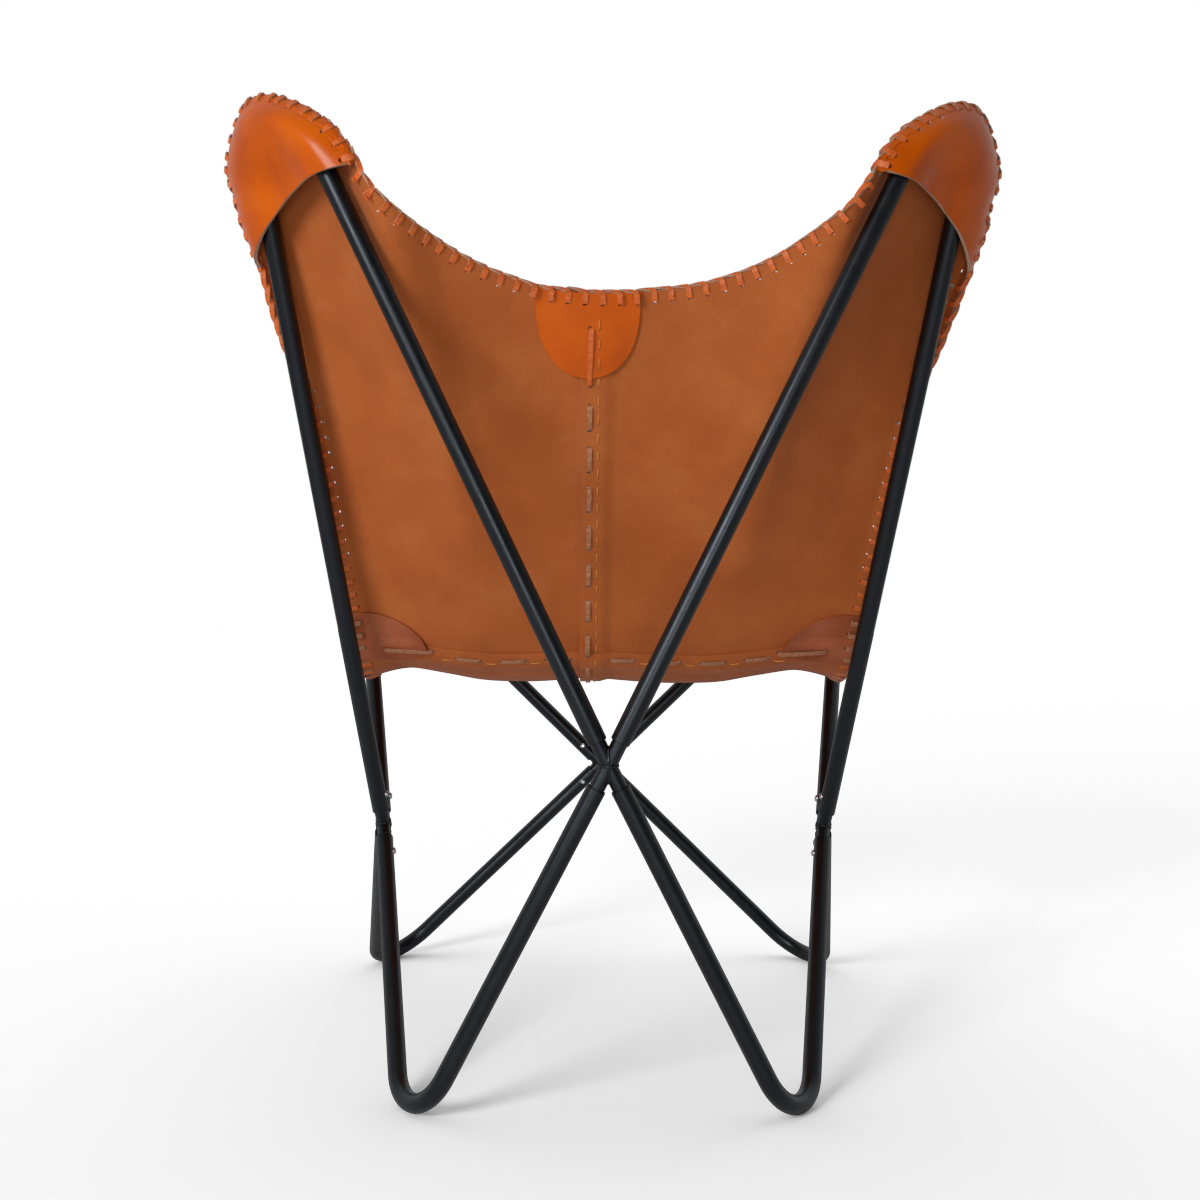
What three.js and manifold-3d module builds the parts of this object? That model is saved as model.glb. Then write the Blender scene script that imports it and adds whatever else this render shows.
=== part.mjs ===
// Butterfly sling chair: a take-apart frame of bent steel tube with a laced leather sling.
// Millimetres, +Z up. The chair faces -Y, its back is at +Y and +X is the sitter's left.
import * as THREE from 'three';
import { mergeVertices } from 'three/addons/utils/BufferGeometryUtils.js';
import Module from 'manifold-3d';

const wasm = await Module();
wasm.setup();

const vec = (x, y, z) => new THREE.Vector3(x, y, z);

// Frame tube, spigots and screws
const tubeOD = 18;
const tubeWall = 1.2;
const spigotGap = 0.6;
const spigotInsert = 45;
const weldRoom = 5;
const weldBead = 1.2;
const screwInset = 20;
const screwHeadD = 7;
const screwHeadH = 2.4;
const screwCrown = 1.7;
const screwShankD = 4;
const screwGap = 0.3;
const footFlat = 0.5;

// Corner points where the two leg centrelines of each bent tube would meet
const rearTip = { halfSpread: 346, setback: 380, height: 1053, bend: 48 };
const frontTip = { halfSpread: 327, setback: -330, height: 577, bend: 40 };
const rearFoot = { halfSpread: 187.5, setback: 299, bend: 50 };
const frontFoot = { halfSpread: 305, setback: -323, bend: 54 };

// Crossing points of the four welded connectors
const rearCrossing = { halfSpread: 0, setback: 325, height: 332 };
const frontCrossing = { halfSpread: 0, setback: -314, height: 261 };
const sideCrossing = { halfSpread: 246, setback: 22, height: 230 };

// Sling of leather sheet
const leather = 3.5;
const stitchGap = 0.3;
const pocketRoom = 3;
const sitGap = 0.5;
const rimSlope = 1.45;
const rimInset = 0.008;
const patchLeather = 2.5;
const patchGap = 0.8;
const edgeLaceD = 4;
const seamLaceWidth = 6;
const seamLaceThick = 1.5;
const seamLaceOffset = 8;
const centreLaceOffset = 4;
const crossLaceOffset = 4;
const laceGap = 0.8;
const seamShift = 16;
const seam = { halfWidth: 270, sideSetback: 60, sideHeight: 433, setback: 74, height: 425, sag: 9 };
const backTop = { setback: 290, height: 770, hollow: 8 };
const seatFront = { setback: -285, height: 450, hollow: 4 };
const seatLow = { setback: -50, height: 398, sideHeight: 397, turnRise: 6, turnShare: 0.3 };
const sideEdge = { upperPull: 18, upperSag: 14, upperShare: 0.33, lowerPull: 10, lowerSag: 18, lowerShare: 0.66 };
const hangPower = 2.6;
const hangSkew = 0.4;
const topPatch = { halfWidth: 50, depth: 78 };
const sidePatch = { length: 82, above: 42, below: 16 };
const sidePatchInset = 3;

// Horns of the sling over the tube tips, with shares of the mouth's depth for the shape of their outline
const rearHornSize = {
  mouth: 90, innerMouth: 62, mouthArch: 20, tipMargin: 20, tipOffset: 36, innerMargin: 22, outerMargin: 40,
  hangShift: 4, shoulder: 0.28, innerShoulder: 0.78, outerShoulder: 1.06, sideRise: 0.18, mouthDrop: 0.34,
};
const frontHornSize = {
  mouth: 78, innerMouth: 66, mouthArch: 14, tipMargin: 20, tipOffset: 9, innerMargin: 14, outerMargin: 30,
  hangShift: 0, shoulder: 0.32, innerShoulder: 0.86, outerShoulder: 0.86, sideRise: 0.35, mouthDrop: 0.3,
};
const hornCurl = 20;
const hornSideInset = 9;
const hornMouthInset = 7;
const shoulderCurl = 8;
const liftRun = 95;
const liftBeside = 38;

// Facets
const tubeSides = 12;
const bendSteps = 8;
const screwSides = 8;
const innerColumns = 5;
const hornColumns = 10;
const panelDown = 10;

const tubeR = tubeOD / 2;
const boreR = tubeR - tubeWall;
const spigotR = boreR - spigotGap;
const shankR = screwShankD / 2;

const steel = { color: 0x16171a, roughness: 0.45, metalness: 0.6 };
const chrome = { color: 0xc8c8c8, roughness: 0.2, metalness: 1 };
const backLeather = { color: 0xa4623a, roughness: 0.75, metalness: 0 };
const seatLeather = { color: 0xa05a30, roughness: 0.7, metalness: 0 };
const pocketLeather = { color: 0xc9691c, roughness: 0.35, metalness: 0 };
const patchFinish = { color: 0x9a4a22, roughness: 0.4, metalness: 0 };
const laceFinish = { color: 0xb86a33, roughness: 0.6, metalness: 0 };

const chair = new THREE.Group();
function addPiece(name, geometry, finish) {
  const mesh = new THREE.Mesh(geometry, new THREE.MeshStandardMaterial(finish));
  mesh.name = name;
  chair.add(mesh);
}

// Solids and cuts
function solidOf(geometry) {
  const bare = geometry.clone();
  bare.deleteAttribute('normal');
  bare.deleteAttribute('uv');
  const merged = mergeVertices(bare, 1e-4);
  const vertProperties = new Float32Array(merged.attributes.position.array);
  const triVerts = new Uint32Array(merged.index.array);
  return new wasm.Manifold(new wasm.Mesh({ numProp: 3, vertProperties, triVerts }));
}

function geometryOf(solid) {
  const mesh = solid.getMesh();
  const geometry = new THREE.BufferGeometry();
  geometry.setAttribute('position', new THREE.BufferAttribute(mesh.vertProperties, 3));
  geometry.setIndex(new THREE.BufferAttribute(mesh.triVerts, 1));
  return geometry;
}

function rod(from, to, radius, sides) {
  const axis = to.clone().sub(from);
  const geometry = new THREE.CylinderGeometry(radius, radius, axis.length(), sides);
  geometry.applyQuaternion(new THREE.Quaternion().setFromUnitVectors(vec(0, 1, 0), axis.clone().normalize()));
  const middle = from.clone().add(to).multiplyScalar(0.5);
  return geometry.translate(middle.x, middle.y, middle.z);
}

// Closed sheet between two matching grids of points
function sheetBetween(inner, outer) {
  const rows = inner.length;
  const columns = inner[0].length;
  const points = [...inner.flat(), ...outer.flat()];
  const at = (layer, i, j) => layer * rows * columns + i * columns + j;
  const index = [];
  const quad = (a, b, c, d) => index.push(a, b, c, a, c, d);
  for (let i = 0; i < rows - 1; i += 1) {
    for (let j = 0; j < columns - 1; j += 1) {
      quad(at(0, i, j), at(0, i, j + 1), at(0, i + 1, j + 1), at(0, i + 1, j));
      quad(at(1, i, j), at(1, i + 1, j), at(1, i + 1, j + 1), at(1, i, j + 1));
    }
  }
  for (let j = 0; j < columns - 1; j += 1) {
    quad(at(0, 0, j), at(1, 0, j), at(1, 0, j + 1), at(0, 0, j + 1));
    quad(at(0, rows - 1, j), at(0, rows - 1, j + 1), at(1, rows - 1, j + 1), at(1, rows - 1, j));
  }
  for (let i = 0; i < rows - 1; i += 1) {
    quad(at(0, i, 0), at(0, i + 1, 0), at(1, i + 1, 0), at(1, i, 0));
    quad(at(0, i, columns - 1), at(1, i, columns - 1), at(1, i + 1, columns - 1), at(0, i + 1, columns - 1));
  }
  if (signedVolume(points, index) < 0) index.reverse();
  const geometry = new THREE.BufferGeometry().setFromPoints(points);
  geometry.setIndex(index);
  return geometry;
}

function signedVolume(points, index) {
  let volume = 0;
  for (let k = 0; k < index.length; k += 3) {
    const [a, b, c] = [points[index[k]], points[index[k + 1]], points[index[k + 2]]];
    volume += a.dot(b.clone().cross(c)) / 6;
  }
  return volume;
}

// A path given by its rings: points and the tube's direction at each
class RingPath extends THREE.Curve {
  constructor(points, directions) {
    super();
    this.points = points;
    this.directions = directions;
  }

  getPointAt(u, target = new THREE.Vector3()) {
    return target.copy(this.points[Math.round(u * (this.points.length - 1))]);
  }

  getTangentAt(u, target = new THREE.Vector3()) {
    return target.copy(this.directions[Math.round(u * (this.points.length - 1))]);
  }
}

function ring(radius, sides) {
  return Array.from({ length: sides }, (_, i) => {
    const angle = (i / sides) * 2 * Math.PI;
    return new THREE.Vector2(radius * Math.cos(angle), radius * Math.sin(angle));
  });
}

function tubeAlong(path, outerR, innerR, sides) {
  const section = new THREE.Shape(ring(outerR, sides));
  if (innerR > 0) section.holes.push(new THREE.Path(ring(innerR, sides)));
  return new THREE.ExtrudeGeometry(section, { steps: path.points.length - 1, extrudePath: path });
}

// Two straight legs from a rounded corner to the points endA and endB
function hairpinPath(corner, endA, endB, bend) {
  const alongA = endA.clone().sub(corner).normalize();
  const alongB = endB.clone().sub(corner).normalize();
  const half = alongA.angleTo(alongB) / 2;
  const middle = alongA.clone().add(alongB).normalize();
  const centre = corner.clone().addScaledVector(middle, bend / Math.sin(half));
  const tangentA = corner.clone().addScaledVector(alongA, bend / Math.tan(half));
  const normal = alongA.clone().cross(alongB).normalize();
  const arm = tangentA.clone().sub(centre);
  const sweep = 2 * half - Math.PI;
  const points = [endA];
  const directions = [alongA.clone().negate()];
  for (let i = 0; i <= bendSteps; i += 1) {
    const angle = (i / bendSteps) * sweep;
    points.push(centre.clone().add(arm.clone().applyAxisAngle(normal, angle)));
    directions.push(alongA.clone().negate().applyAxisAngle(normal, angle));
  }
  points.push(endB);
  directions.push(alongB);
  return new RingPath(points, directions);
}

// Frame layout
const placed = (size, side) => vec(size.halfSpread * side, size.setback, size.height ?? 0);

const crosses = {
  rear_cross: { at: placed(rearCrossing, 1), arms: [], inward: vec(0, -1, 0) },
  front_cross: { at: placed(frontCrossing, 1), arms: [], inward: vec(0, 1, 0) },
  left_cross: { at: placed(sideCrossing, 1), arms: [], inward: vec(-1, 0, 0) },
  right_cross: { at: placed(sideCrossing, -1), arms: [], inward: vec(1, 0, 0) },
};

const hairpins = [];
function layHairpin(name, size, side, centreCross) {
  const sideCross = side > 0 ? 'left_cross' : 'right_cross';
  hairpins.push({ name, corner: placed(size, side), bend: size.bend, ends: [centreCross, sideCross] });
}

for (const [word, side] of [['left', 1], ['right', -1]]) {
  layHairpin(`rear_${word}_upright`, rearTip, side, 'rear_cross');
  layHairpin(`front_${word}_upright`, frontTip, side, 'front_cross');
  layHairpin(`rear_${word}_foot`, rearFoot, side, 'rear_cross');
  layHairpin(`front_${word}_foot`, frontFoot, side, 'front_cross');
}

function armDirection(hairpin, crossName) {
  return hairpin.corner.clone().sub(crosses[crossName].at).normalize();
}

// Legs stop short of the crossing, where neighbouring tubes would touch
function legStart(crossName) {
  const directions = hairpins.filter((pin) => pin.ends.includes(crossName))
    .map((pin) => armDirection(pin, crossName));
  let narrowest = Math.PI;
  for (const a of directions) {
    for (const b of directions) {
      if (a !== b) narrowest = Math.min(narrowest, a.angleTo(b));
    }
  }
  return tubeR / Math.tan(narrowest / 2) + weldRoom;
}

function hairpinGeometry(pin) {
  const [endA, endB] = pin.ends.map((crossName) => (
    crosses[crossName].at.clone().addScaledVector(armDirection(pin, crossName), legStart(crossName))
  ));
  return tubeAlong(hairpinPath(pin.corner, endA, endB, pin.bend), tubeR, boreR, tubeSides);
}

// Each foot's corner is set so that its bend reaches just past the floor, where it is filed flat
const settleRounds = 8;
for (const pin of hairpins.filter((each) => each.name.endsWith('_foot'))) {
  for (let round = 0; round < settleRounds; round += 1) {
    const geometry = hairpinGeometry(pin);
    geometry.computeBoundingBox();
    pin.corner.z -= geometry.boundingBox.min.z + footFlat;
  }
}

// Screws lock each leg on its spigot and face the inside of the chair
function screwPlaces(pin) {
  return pin.ends.map((crossName) => {
    const cross = crosses[crossName];
    const arm = armDirection(pin, crossName);
    const outward = cross.inward.clone().addScaledVector(arm, -cross.inward.dot(arm)).normalize();
    const onAxis = cross.at.clone().addScaledVector(arm, legStart(crossName) + screwInset);
    return { crossName, onAxis, outward };
  });
}

function screwHole({ onAxis, outward }, from, to) {
  const at = (distance) => onAxis.clone().addScaledVector(outward, distance);
  return solidOf(rod(at(from), at(to), shankR + screwGap, screwSides));
}

function screwGeometry({ onAxis, outward }) {
  const headR = screwHeadD / 2;
  const profile = [
    [0, -spigotR], [shankR, -spigotR], [shankR, 0], [headR, 0],
    [headR, screwHeadH - screwCrown], [shankR, screwHeadH - screwCrown / 4], [0, screwHeadH],
  ].map(([r, z]) => new THREE.Vector2(r, z));
  const geometry = new THREE.LatheGeometry(profile, screwSides);
  geometry.applyQuaternion(new THREE.Quaternion().setFromUnitVectors(vec(0, 1, 0), outward));
  const seat = onAxis.clone().addScaledVector(outward, tubeR + screwGap);
  return geometry.translate(seat.x, seat.y, seat.z);
}

const pastTube = tubeR + tubeWall;
const belowFloor = 40;
const floorCut = 4 * rearTip.height;
const floor = solidOf(new THREE.BoxGeometry(floorCut, floorCut, belowFloor).translate(0, 0, -belowFloor / 2));

for (const pin of hairpins) {
  let tube = solidOf(hairpinGeometry(pin));
  if (pin.name.endsWith('_foot')) tube = tube.subtract(floor);
  for (const [end, place] of Object.entries(screwPlaces(pin))) {
    tube = tube.subtract(screwHole(place, boreR / 2, pastTube));
    crosses[place.crossName].arms.push({ pin, place });
    const endWord = end === '0' ? 'inner' : 'outer';
    addPiece(`${pin.name}_${endWord}_screw`, screwGeometry(place), chrome);
  }
  addPiece(pin.name, geometryOf(tube), steel);
}

// Welded connectors: four spigots round one crossing
for (const [name, cross] of Object.entries(crosses)) {
  const beadSides = 6;
  const bead = new THREE.SphereGeometry(spigotR + weldBead, tubeSides, beadSides);
  let body = solidOf(bead.translate(cross.at.x, cross.at.y, cross.at.z));
  for (const { pin } of cross.arms) {
    const reach = legStart(name) + spigotInsert;
    const end = cross.at.clone().addScaledVector(armDirection(pin, name), reach);
    body = body.add(solidOf(rod(cross.at, end, spigotR, tubeSides)));
  }
  for (const { place } of cross.arms) body = body.subtract(screwHole(place, 0, pastTube));
  addPiece(name, geometryOf(body), steel);
}

// Corner frames: the plane of each upper bent tube, with its own down and outward directions
function cornerPlane(size, side, centreCross) {
  const corner = placed(size, side);
  const toCentre = crosses[centreCross].at.clone().sub(corner).normalize();
  const toSide = crosses[side > 0 ? 'left_cross' : 'right_cross'].at.clone().sub(corner).normalize();
  const down = toCentre.clone().add(toSide).normalize();
  const half = toCentre.angleTo(toSide) / 2;
  const up = toSide.clone().cross(toCentre).normalize();
  if (up.z < 0) up.negate();
  const out = toSide.clone().sub(toCentre).normalize();
  const tipReach = size.bend / Math.sin(half) - size.bend - tubeR;
  const at = (lateral, below, height) => corner.clone().addScaledVector(out, lateral)
    .addScaledVector(down, below).addScaledVector(up, height);
  return { corner, down, up, out, half, tipReach, at };
}

// Height of the sling's sitting face over the tubes that it lies on
const sitHeight = tubeR + sitGap + leather;
const legWidth = (plane, below) => below * Math.tan(plane.half) + tubeR;

// Outline of one horn of the sling, from its inner root over the tip to the outer end of the pocket's mouth
function hornOutline(plane, size, side) {
  const mouthBelow = plane.tipReach + size.mouth;
  const innerBelow = plane.tipReach + size.innerMouth;
  const shoulder = plane.tipReach + size.mouth * size.shoulder;
  const shift = side * size.hangShift;
  const innerAt = (below) => -legWidth(plane, below) - size.innerMargin - shift;
  const outerAt = (below) => legWidth(plane, below) + size.outerMargin - shift;
  const curled = sitHeight - hornCurl;
  return {
    innerRoot: plane.at(innerAt(mouthBelow), mouthBelow, sitHeight),
    innerMouth: plane.at(innerAt(innerBelow), innerBelow, sitHeight),
    innerShoulder: plane.at(innerAt(shoulder) * size.innerShoulder, shoulder, sitHeight),
    tip: plane.at(size.tipOffset - shift / 2, plane.tipReach - size.tipMargin, sitHeight),
    outerShoulder: plane.at(outerAt(shoulder) * size.outerShoulder, shoulder, sitHeight - shoulderCurl),
    outerSide: plane.at(outerAt(mouthBelow) - hornSideInset, mouthBelow - size.mouth * size.sideRise, curled),
    outerMouth: plane.at(outerAt(mouthBelow) - hornMouthInset, mouthBelow + size.mouth * size.mouthDrop, curled),
  };
}

const curve = (points) => new THREE.CatmullRomCurve3(points, false, 'centripetal');
const between = (a, b, t) => a.clone().lerp(b, t);

// Points of an edge that hangs level at the centre a and rises to the horn at b, the later the higher the power
function hangPoints(a, b, power) {
  return [0.25, 0.5, 0.75].map((t) => {
    const risen = between(a, b, t ** power);
    return vec(between(a, b, t).x, risen.y, risen.z);
  });
}

// Boundary curves of the half sling on one side, mirrored by side
function halfSling(side) {
  const rear = cornerPlane(rearTip, side, 'rear_cross');
  const front = cornerPlane(frontTip, side, 'front_cross');
  const rearHorn = hornOutline(rear, rearHornSize, side);
  const frontHorn = hornOutline(front, frontHornSize, side);
  const topCentre = vec(seamShift, backTop.setback, backTop.height);
  const seamCentre = vec(seamShift, seam.setback, seam.height);
  const frontCentre = vec(seamShift, seatFront.setback, seatFront.height);
  const lowCentre = vec(seamShift, seatLow.setback, seatLow.height);
  const seamSide = vec(seam.halfWidth * side, seam.sideSetback, seam.sideHeight);
  const lowSide = vec(seam.halfWidth * side, seatLow.setback, seatLow.sideHeight);
  const sag = (a, b, drop) => between(a, b, 0.5).add(vec(0, 0, -drop));
  const turn = (from, low) => {
    const on = between(from, low, seatLow.turnShare);
    return vec(on.x, on.y, low.z + seatLow.turnRise);
  };
  const drawn = (share, pull, drop) => between(rearHorn.outerMouth, seamSide, share).add(vec(-pull * side, 0, -drop));
  return {
    rear,
    front,
    rearHorn,
    frontHorn,
    top: curve([topCentre, ...hangPoints(topCentre, rearHorn.innerRoot, hangPower - side * hangSkew), rearHorn.innerRoot,
      rearHorn.innerShoulder, rearHorn.tip, rearHorn.outerShoulder, rearHorn.outerSide]),
    side: curve([rearHorn.outerSide, rearHorn.outerMouth,
      drawn(sideEdge.upperShare, sideEdge.upperPull, sideEdge.upperSag),
      drawn(sideEdge.lowerShare, sideEdge.lowerPull, sideEdge.lowerSag), seamSide]),
    seam: curve([seamCentre, sag(seamCentre, seamSide, seam.sag), seamSide]),
    centre: curve([topCentre, sag(topCentre, seamCentre, backTop.hollow), seamCentre]),
    seatCentre: curve([seamCentre, turn(seamCentre, lowCentre), lowCentre,
      sag(lowCentre, frontCentre, seatFront.hollow), frontCentre]),
    seatSide: curve([seamSide, turn(seamSide, lowSide), lowSide, frontHorn.outerMouth, frontHorn.outerSide]),
    lip: curve([frontCentre, ...hangPoints(frontCentre, frontHorn.innerRoot, hangPower), frontHorn.innerRoot,
      frontHorn.innerShoulder, frontHorn.tip, frontHorn.outerShoulder, frontHorn.outerSide]),
  };
}

const halves = { 1: halfSling(1), '-1': halfSling(-1) };

// Sheet clear of the bent tube under it: lifted where it would come closer than the sitting height
function cleared(point, plane) {
  const from = point.clone().sub(plane.corner);
  const below = from.dot(plane.down);
  const reach = plane.tipReach + 2 * liftRun;
  const fade = THREE.MathUtils.smoothstep(reach - below, 0, liftRun);
  const beside = Math.abs(from.dot(plane.out)) - legWidth(plane, Math.max(below, plane.tipReach));
  const within = 1 - THREE.MathUtils.smoothstep(beside, 0, liftBeside);
  const short = Math.max(0, sitHeight - from.dot(plane.up));
  return point.clone().addScaledVector(plane.up, short * fade * within);
}

function patchBetween(start, end, left, right, u, v) {
  const along = start.getPointAt(u).multiplyScalar(1 - v).addScaledVector(end.getPointAt(u), v);
  const across = left.getPointAt(v).multiplyScalar(1 - u).addScaledVector(right.getPointAt(v), u);
  const corners = start.getPointAt(0).multiplyScalar((1 - u) * (1 - v))
    .addScaledVector(start.getPointAt(1), u * (1 - v))
    .addScaledVector(end.getPointAt(0), (1 - u) * v)
    .addScaledVector(end.getPointAt(1), u * v);
  return along.add(across).sub(corners);
}

// Sitting face: u from the centre seam to the side edge, v from 0 at the top, 1 at the seam, 2 at the front
function sitting(side, u, v) {
  const half = halves[side];
  if (v <= 1) return cleared(patchBetween(half.top, half.seam, half.centre, half.side, u, v), half.rear);
  return cleared(patchBetween(half.seam, half.lip, half.seatCentre, half.seatSide, u, v - 1), half.front);
}

function outwardNormal(side, u, v) {
  const step = 0.02;
  const [u0, u1] = [Math.max(0, u - step), Math.min(1, u + step)];
  const [v0, v1] = [Math.max(0, v - step), Math.min(2, v + step)];
  const acrossWay = sitting(side, u1, v).sub(sitting(side, u0, v));
  const downWay = sitting(side, u, v1).sub(sitting(side, u, v0));
  return acrossWay.cross(downWay).normalize().multiplyScalar(side);
}

const behind = (side, u, v, depth) => sitting(side, u, v).addScaledVector(outwardNormal(side, u, v), depth);

// Panels: two for the back and two for the seat, with a stitch gap along the seams
const spread = (count, low, high) => Array.from({ length: count + 1 }, (_, i) => low + ((high - low) * i) / count);

const seamShare = 0.002;
const panelColumns = [...spread(innerColumns, seamShare, 0.5), ...spread(hornColumns, 0.5, 1).slice(1)];
const backRows = spread(panelDown, 0, 1 - seamShare);
const seatRows = spread(panelDown, 1 + seamShare, 2);

function panelGeometry(side, rows) {
  const grid = (depth) => rows.map((v) => panelColumns.map((u) => behind(side, u, v, depth)));
  return sheetBetween(grid(0), grid(leather));
}

for (const [word, side] of [['left', 1], ['right', -1]]) {
  addPiece(`back_${word}_panel`, panelGeometry(side, backRows), backLeather);
  addPiece(`seat_${word}_panel`, panelGeometry(side, seatRows), seatLeather);
}

// Pockets: a leaf behind each tip, laced along the horn and bulging round the tube
const pocketAcross = 18;
const pocketRows = [0.03, 0.1, 0.2, 0.34, 0.6, 1];
const wrapPower = 2.8;

function nearestAt(line, target) {
  const shares = spread(400, 0, 1);
  const distance = (share) => line.getPointAt(share).distanceTo(target);
  return shares.reduce((best, share) => (distance(share) < distance(best) ? share : best));
}

// Signed distance, within a corner's plane, outwards from the bent tube's centreline
function outsideTube(plane, size, lateral, below) {
  const centre = size.bend / Math.sin(plane.half);
  const fromLeg = Math.abs(lateral) * Math.cos(plane.half) - below * Math.sin(plane.half);
  const fromCentre = Math.hypot(lateral, below - centre) - size.bend;
  const overBend = below + Math.abs(lateral) * Math.tan(plane.half) < centre;
  return overBend ? fromCentre : fromLeg;
}

function pocketGeometry(size, mouthArch, plane, edge) {
  const flat = edge.map((point) => {
    const from = point.clone().sub(plane.corner);
    return { lateral: from.dot(plane.out), below: from.dot(plane.down), height: from.dot(plane.up) };
  });
  const [first, last] = [flat[0], flat[flat.length - 1]];
  const bulge = tubeR + pocketRoom;
  const leaf = (extra) => pocketRows.map((b) => flat.map((rim, i) => {
    const share = i / (flat.length - 1);
    const mouthLateral = THREE.MathUtils.lerp(first.lateral, last.lateral, share);
    const arch = mouthArch * 4 * share * (1 - share);
    const mouthBelow = THREE.MathUtils.lerp(first.below, last.below, share) - arch;
    const lateral = THREE.MathUtils.lerp(rim.lateral, mouthLateral, b);
    const below = THREE.MathUtils.lerp(rim.below, mouthBelow, b);
    const outside = Math.max(0, outsideTube(plane, size, lateral, below));
    const toRim = Math.min(...flat.map((each) => Math.hypot(each.lateral - lateral, each.below - below)));
    const rimHeight = rim.height - leather * rimSlope - stitchGap;
    const rise = (outside / (outside + toRim)) ** wrapPower;
    const height = THREE.MathUtils.lerp(-bulge, Math.max(rimHeight, -bulge), rise);
    return plane.at(lateral, below, height - extra);
  }));
  return sheetBetween(leaf(0), leaf(leather));
}

for (const [word, side] of [['left', 1], ['right', -1]]) {
  const half = halves[side];
  const rearStart = nearestAt(half.top, half.rearHorn.innerMouth);
  const rearEnd = nearestAt(half.side, half.rearHorn.outerMouth);
  const frontStart = nearestAt(half.lip, half.frontHorn.innerMouth);
  const frontEnd = 1 + nearestAt(half.seatSide, half.frontHorn.outerMouth);
  const rim = (edgeV, start, end) => spread(pocketAcross, 0, 2).map((share) => (
    share <= 1 ? sitting(side, THREE.MathUtils.lerp(start, 1 - rimInset, share), edgeV)
      : sitting(side, 1 - rimInset, THREE.MathUtils.lerp(edgeV, end, share - 1))
  ));
  const rearRim = rim(0, rearStart, rearEnd);
  const frontRim = rim(2, frontStart, frontEnd);
  addPiece(`rear_${word}_pocket`, pocketGeometry(rearTip, rearHornSize.mouthArch, half.rear, rearRim), pocketLeather);
  addPiece(`front_${word}_pocket`, pocketGeometry(frontTip, frontHornSize.mouthArch, half.front, frontRim),
    pocketLeather);
}

// Patches and laces on the outer face, placed in millimetres from the centre seam or the side edge
const lengths = (side) => {
  const half = halves[side];
  return { top: half.top.getLength(), seam: half.seam.getLength(), back: half.centre.getLength(),
    side: half.side.getLength(), seat: half.seatSide.getLength() };
};

function acrossShare(side, v, distance) {
  const run = lengths(side);
  return distance / THREE.MathUtils.lerp(run.top, run.seam, Math.min(v, 1));
}

function strip(rows, columns, place, thickness) {
  const grid = (depth) => rows.map((s) => columns.map((t) => {
    const { side, u, v } = place(s, t);
    return behind(side, u, v, leather + patchGap + depth);
  }));
  return sheetBetween(grid(0), grid(thickness));
}

const topPatchMargin = 6;
const topPatchGeometry = strip(spread(7, 0, 1), spread(8, -1, 1), (s, t) => {
  const wide = topPatch.halfWidth * Math.sqrt(Math.max(1 - s ** 3, 0.05)) * t;
  const side = wide < 0 ? -1 : 1;
  const v = (topPatchMargin + (topPatch.depth - topPatchMargin) * s) / lengths(side).back;
  return { side, u: acrossShare(side, v, Math.abs(wide)), v };
}, patchLeather);
addPiece('top_centre_patch', topPatchGeometry, pocketLeather);

for (const [word, side] of [['left', 1], ['right', -1]]) {
  const geometry = strip(spread(7, 0, 1), spread(6, -1, 1), (s, t) => {
    const tall = Math.sqrt(Math.max(1 - s ** 2.5, 0.05));
    const v = 1 + (t < 0 ? (t * sidePatch.above * tall) / lengths(side).side
      : (t * sidePatch.below * tall) / lengths(side).seat);
    return { side, u: 1 - acrossShare(side, v, sidePatchInset + sidePatch.length * s), v };
  }, patchLeather);
  addPiece(`${word}_seam_patch`, geometry, patchFinish);

  const crossLace = strip([0, 1], spread(10, 0, 1), (s, t) => {
    const v = 1 + (crossLaceOffset + seamLaceWidth * s) / lengths(side).seat;
    const reach = lengths(side).seam - sidePatch.length - sidePatchInset - seamLaceOffset;
    return { side, u: acrossShare(side, v, THREE.MathUtils.lerp(seamLaceOffset, reach, t)), v };
  }, seamLaceThick);
  addPiece(`${word}_cross_seam_lace`, crossLace, laceFinish);
}

const centreLace = strip(spread(10, 0, 1), [0, 1], (s, t) => {
  const backRun = lengths(1).back;
  const start = topPatch.depth + seamLaceOffset;
  const end = backRun - seamLaceOffset;
  const v = THREE.MathUtils.lerp(start, end, s) / backRun;
  return { side: 1, u: acrossShare(1, v, centreLaceOffset + seamLaceWidth * t), v };
}, seamLaceThick);
addPiece('centre_seam_lace', centreLace, laceFinish);

// Thong laced round the whole edge, shown as one round cord just outside it
function rimPoints(side) {
  const inside = 0.03;
  const rims = [
    ...panelColumns.slice(0, -1).map((u) => [[u, 0], [u, inside]]),
    [[1, 0], [1 - inside, inside]],
    ...backRows.slice(1).map((v) => [[1, v], [1 - inside, v]]),
    ...seatRows.slice(1, -1).map((v) => [[1, v], [1 - inside, v]]),
    [[1, 2], [1 - inside, 2 - inside]],
    ...panelColumns.slice(0, -1).reverse().map((u) => [[u, 2], [u, 2 - inside]]),
  ];
  const edge = rims.map(([edgeAt]) => behind(side, ...edgeAt, leather / 2));
  const along = directionsOf(edge);
  return edge.map((point, i) => {
    const outward = point.clone().sub(behind(side, ...rims[i][1], leather / 2));
    outward.addScaledVector(along[i], -outward.dot(along[i])).normalize();
    return point.clone().addScaledVector(outward, edgeLaceD / 2 + laceGap);
  });
}

function directionsOf(points) {
  return points.map((_, i) => {
    const before = points[Math.max(i - 1, 0)];
    const after = points[Math.min(i + 1, points.length - 1)];
    return after.clone().sub(before).normalize();
  });
}

const lacePoints = [...rimPoints(1), ...rimPoints(-1).reverse()];
const laceSides = 6;
addPiece('edge_lace', tubeAlong(new RingPath(lacePoints, directionsOf(lacePoints)), edgeLaceD / 2, 0, laceSides),
  laceFinish);

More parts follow.
